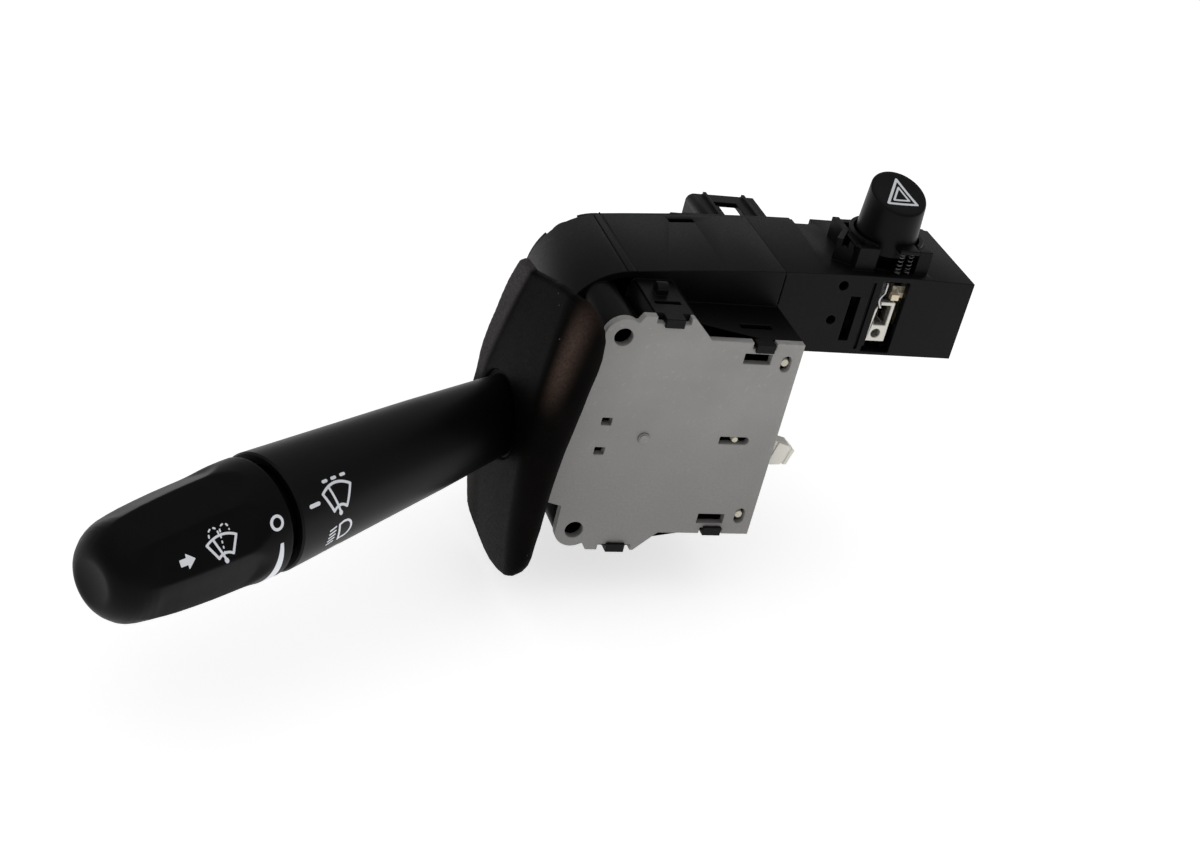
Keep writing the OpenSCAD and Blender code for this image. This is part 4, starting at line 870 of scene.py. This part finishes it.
def bandOutline():  # the speed band on the knob widens as it goes round
    upper, lower = [], []
    for k in range(speedBand["steps"] + 1):
        t = k / speedBand["steps"]
        half = speedBand["thin"] + speedBand["growth"] * t
        upper.append((half + speedBand["shift"], -speedBand["length"] * t))
        lower.append((-half + speedBand["shift"], -speedBand["length"] * t))
    return upper + lower[::-1]


marks = {
    "markWiperPauses": (pausesStrokes(), [], (-6, -5.2, 6.4, 5.8), onTube(119.5, -8.0), "stalk"),
    "markHeadlamp": (lampStrokes(0.3), [], (-4.6, -3.9, 4.6, 3.6), onTube(119.3, 1.6), "stalk"),
    "markMainBeam": (lampStrokes(-0.25), [], (-4.6, -3.9, 4.6, 3.6), onTube(119.0, 11.6), "stalk"),
    "markIndex": ([([(-1.3, 0), (1.3, 0)], 1.05)], [], (-2.2, -1, 2.2, 1), onTube(127.6, -8.75), "stalk"),
    "markOff": ([(arcPoints(0, 0, 1.6, 0, 360, 28), 0.74)], [], (-2.4, -2.4, 2.4, 2.4), onKnob(139.95, -8.25),
                "knob"),
    "markSpeedBand": ([], [bandOutline()], (-3, -18, 3, 0.6), onKnob(139.5, -3.0), "knob"),
    "markWasher": (washerStrokes(), [], (-6, -5.2, 6.4, 6.2), onKnob(155.5, -8.0), "knob"),
    "markPress": ([],
                  [[(-2.1, 0.95), (-0.2, 0.95), (-0.2, 2.15), (2.15, 0), (-0.2, -2.15), (-0.2, -0.95),
                    (-2.1, -0.95)]],
                  (-2.6, -2.6, 2.6, 2.6), onKnob(165.7, -7.6), "knob"),
}
for name, (strokes, areas, box, place, body) in marks.items():
    verts, faces = markMesh(strokes, areas, box, place)
    makePiece(name, verts, faces, body, finish["printedWhite"], "white_plastic", smooth=False)


def onButton(x, y, lift):
    slope = math.radians(button["slope"])
    dish = button["dish"] * (1 - min(1.0, (x * x + y * y) / button["dishRadius"] ** 2))
    return Vector((button["x"] + x, button["y"] + y * math.cos(slope),
                   button["top"] + y * math.sin(slope) - dish + lift))


hazard = dict(apex=(0.85, 5.6), left=(-4.85, -4.45), right=(4.5, -4.4), inner=0.52, outerLine=0.8, innerLine=0.62)
corners = [hazard["apex"], hazard["left"], hazard["right"]]
centre = (sum(c[0] for c in corners) / 3, sum(c[1] for c in corners) / 3)
shrunk = [(centre[0] + (c[0] - centre[0]) * hazard["inner"],
           centre[1] + (c[1] - centre[1]) * hazard["inner"]) for c in corners]
outlines = [(corners + [corners[0]], hazard["outerLine"]), (shrunk + [shrunk[0]], hazard["innerLine"])]
verts, faces = markMesh(outlines, [], (-6, -6, 6, 7), onButton)
makePiece("markHazard", verts, faces, "hazard", finish["printedWhite"], "white_plastic", smooth=False)
print("symbols made:", len(marks) + 1)


stage = dict(floorGap=0.0008, floorHalf=6.0, floorGlow=0.62, lampPlace=(-0.2, -0.3, 1.7), lampSize=(2.4, 2.4),
             lampPower=6.0, roomLight=0.42, backdrop=1.0)


def makeStage():
    low = cadBox[0].z - stage["floorGap"]
    half = stage["floorHalf"]
    mesh = bpy.data.meshes.new("floor")
    mesh.from_pydata([(-half, -half, low), (half, -half, low), (half, half, low), (-half, half, low)], [],
                     [(0, 1, 2, 3)])
    floor = bpy.data.objects.new("floor", mesh)
    scene.collection.objects.link(floor)
    material = bpy.data.materials.new("paleFloor")
    material.use_nodes = True
    tree = material.node_tree
    place = addNode(tree, "ShaderNodeTexCoord").outputs["Object"]
    drift = addNode(tree, "ShaderNodeTexNoise", {"Vector": place, "Scale": 3.0, "Detail": 2.0})
    shader = tree.nodes["Principled BSDF"]
    tree.links.new(mixColor(tree, drift.outputs["Fac"], (0.88, 0.88, 0.88), (0.9, 0.9, 0.9)),
                   shader.inputs["Base Color"])
    shader.inputs["Roughness"].default_value = 0.9
    shader.inputs["Emission Color"].default_value = (1.0, 1.0, 1.0, 1.0)
    shader.inputs["Emission Strength"].default_value = stage["floorGlow"]
    shader.inputs["Specular IOR Level"].default_value = 0.1
    mesh.materials.append(material)


def addLight(name, place, aim, size, power):
    data = bpy.data.lights.new(name, "AREA")
    data.shape = "RECTANGLE"
    data.size, data.size_y = size
    data.energy = power
    lamp = bpy.data.objects.new(name, data)
    scene.collection.objects.link(lamp)
    lamp.location = place
    lamp.rotation_euler = (Vector(aim) - Vector(place)).to_track_quat("-Z", "Y").to_euler()


makeStage()
addLight("keyLight", stage["lampPlace"], (0.0, 0.0, 0.0), stage["lampSize"], stage["lampPower"])
world = bpy.data.worlds.new("studio")
world.use_nodes = True
world.node_tree.nodes["Background"].inputs["Color"].default_value = (1.0, 1.0, 1.0, 1.0)
# the backdrop is as pale as the floor, but lights the part softly
seen = world.node_tree.nodes.new("ShaderNodeLightPath")
strength = rangeNode(world.node_tree, seen.outputs["Is Camera Ray"], 0.0, 1.0, stage["roomLight"], stage["backdrop"])
world.node_tree.links.new(strength, world.node_tree.nodes["Background"].inputs["Strength"])
scene.world = world
scene.view_settings.view_transform = "Standard"
scene.view_settings.look = "None"

view = dict(place=(-0.20129, -0.44747, 0.28099), lens=61.85, right=(0.93360537, -0.2835071, 0.21909982),
            down=(0.03375047, -0.53919083, -0.84150708), ahead=(0.35670984, 0.79303025, -0.49382295))
cameraData = bpy.data.cameras.new("camera")
cameraData.lens = view["lens"]
cameraData.sensor_width = 36.0
cameraData.clip_start = 0.01
camera = bpy.data.objects.new("camera", cameraData)
scene.collection.objects.link(camera)
turn = Matrix((view["right"], [-v for v in view["down"]], [-v for v in view["ahead"]])).transposed().to_4x4()
camera.matrix_world = Matrix.Translation(Vector(view["place"])) @ turn
scene.camera = camera
print("stage made")

bpy.context.view_layer.update()
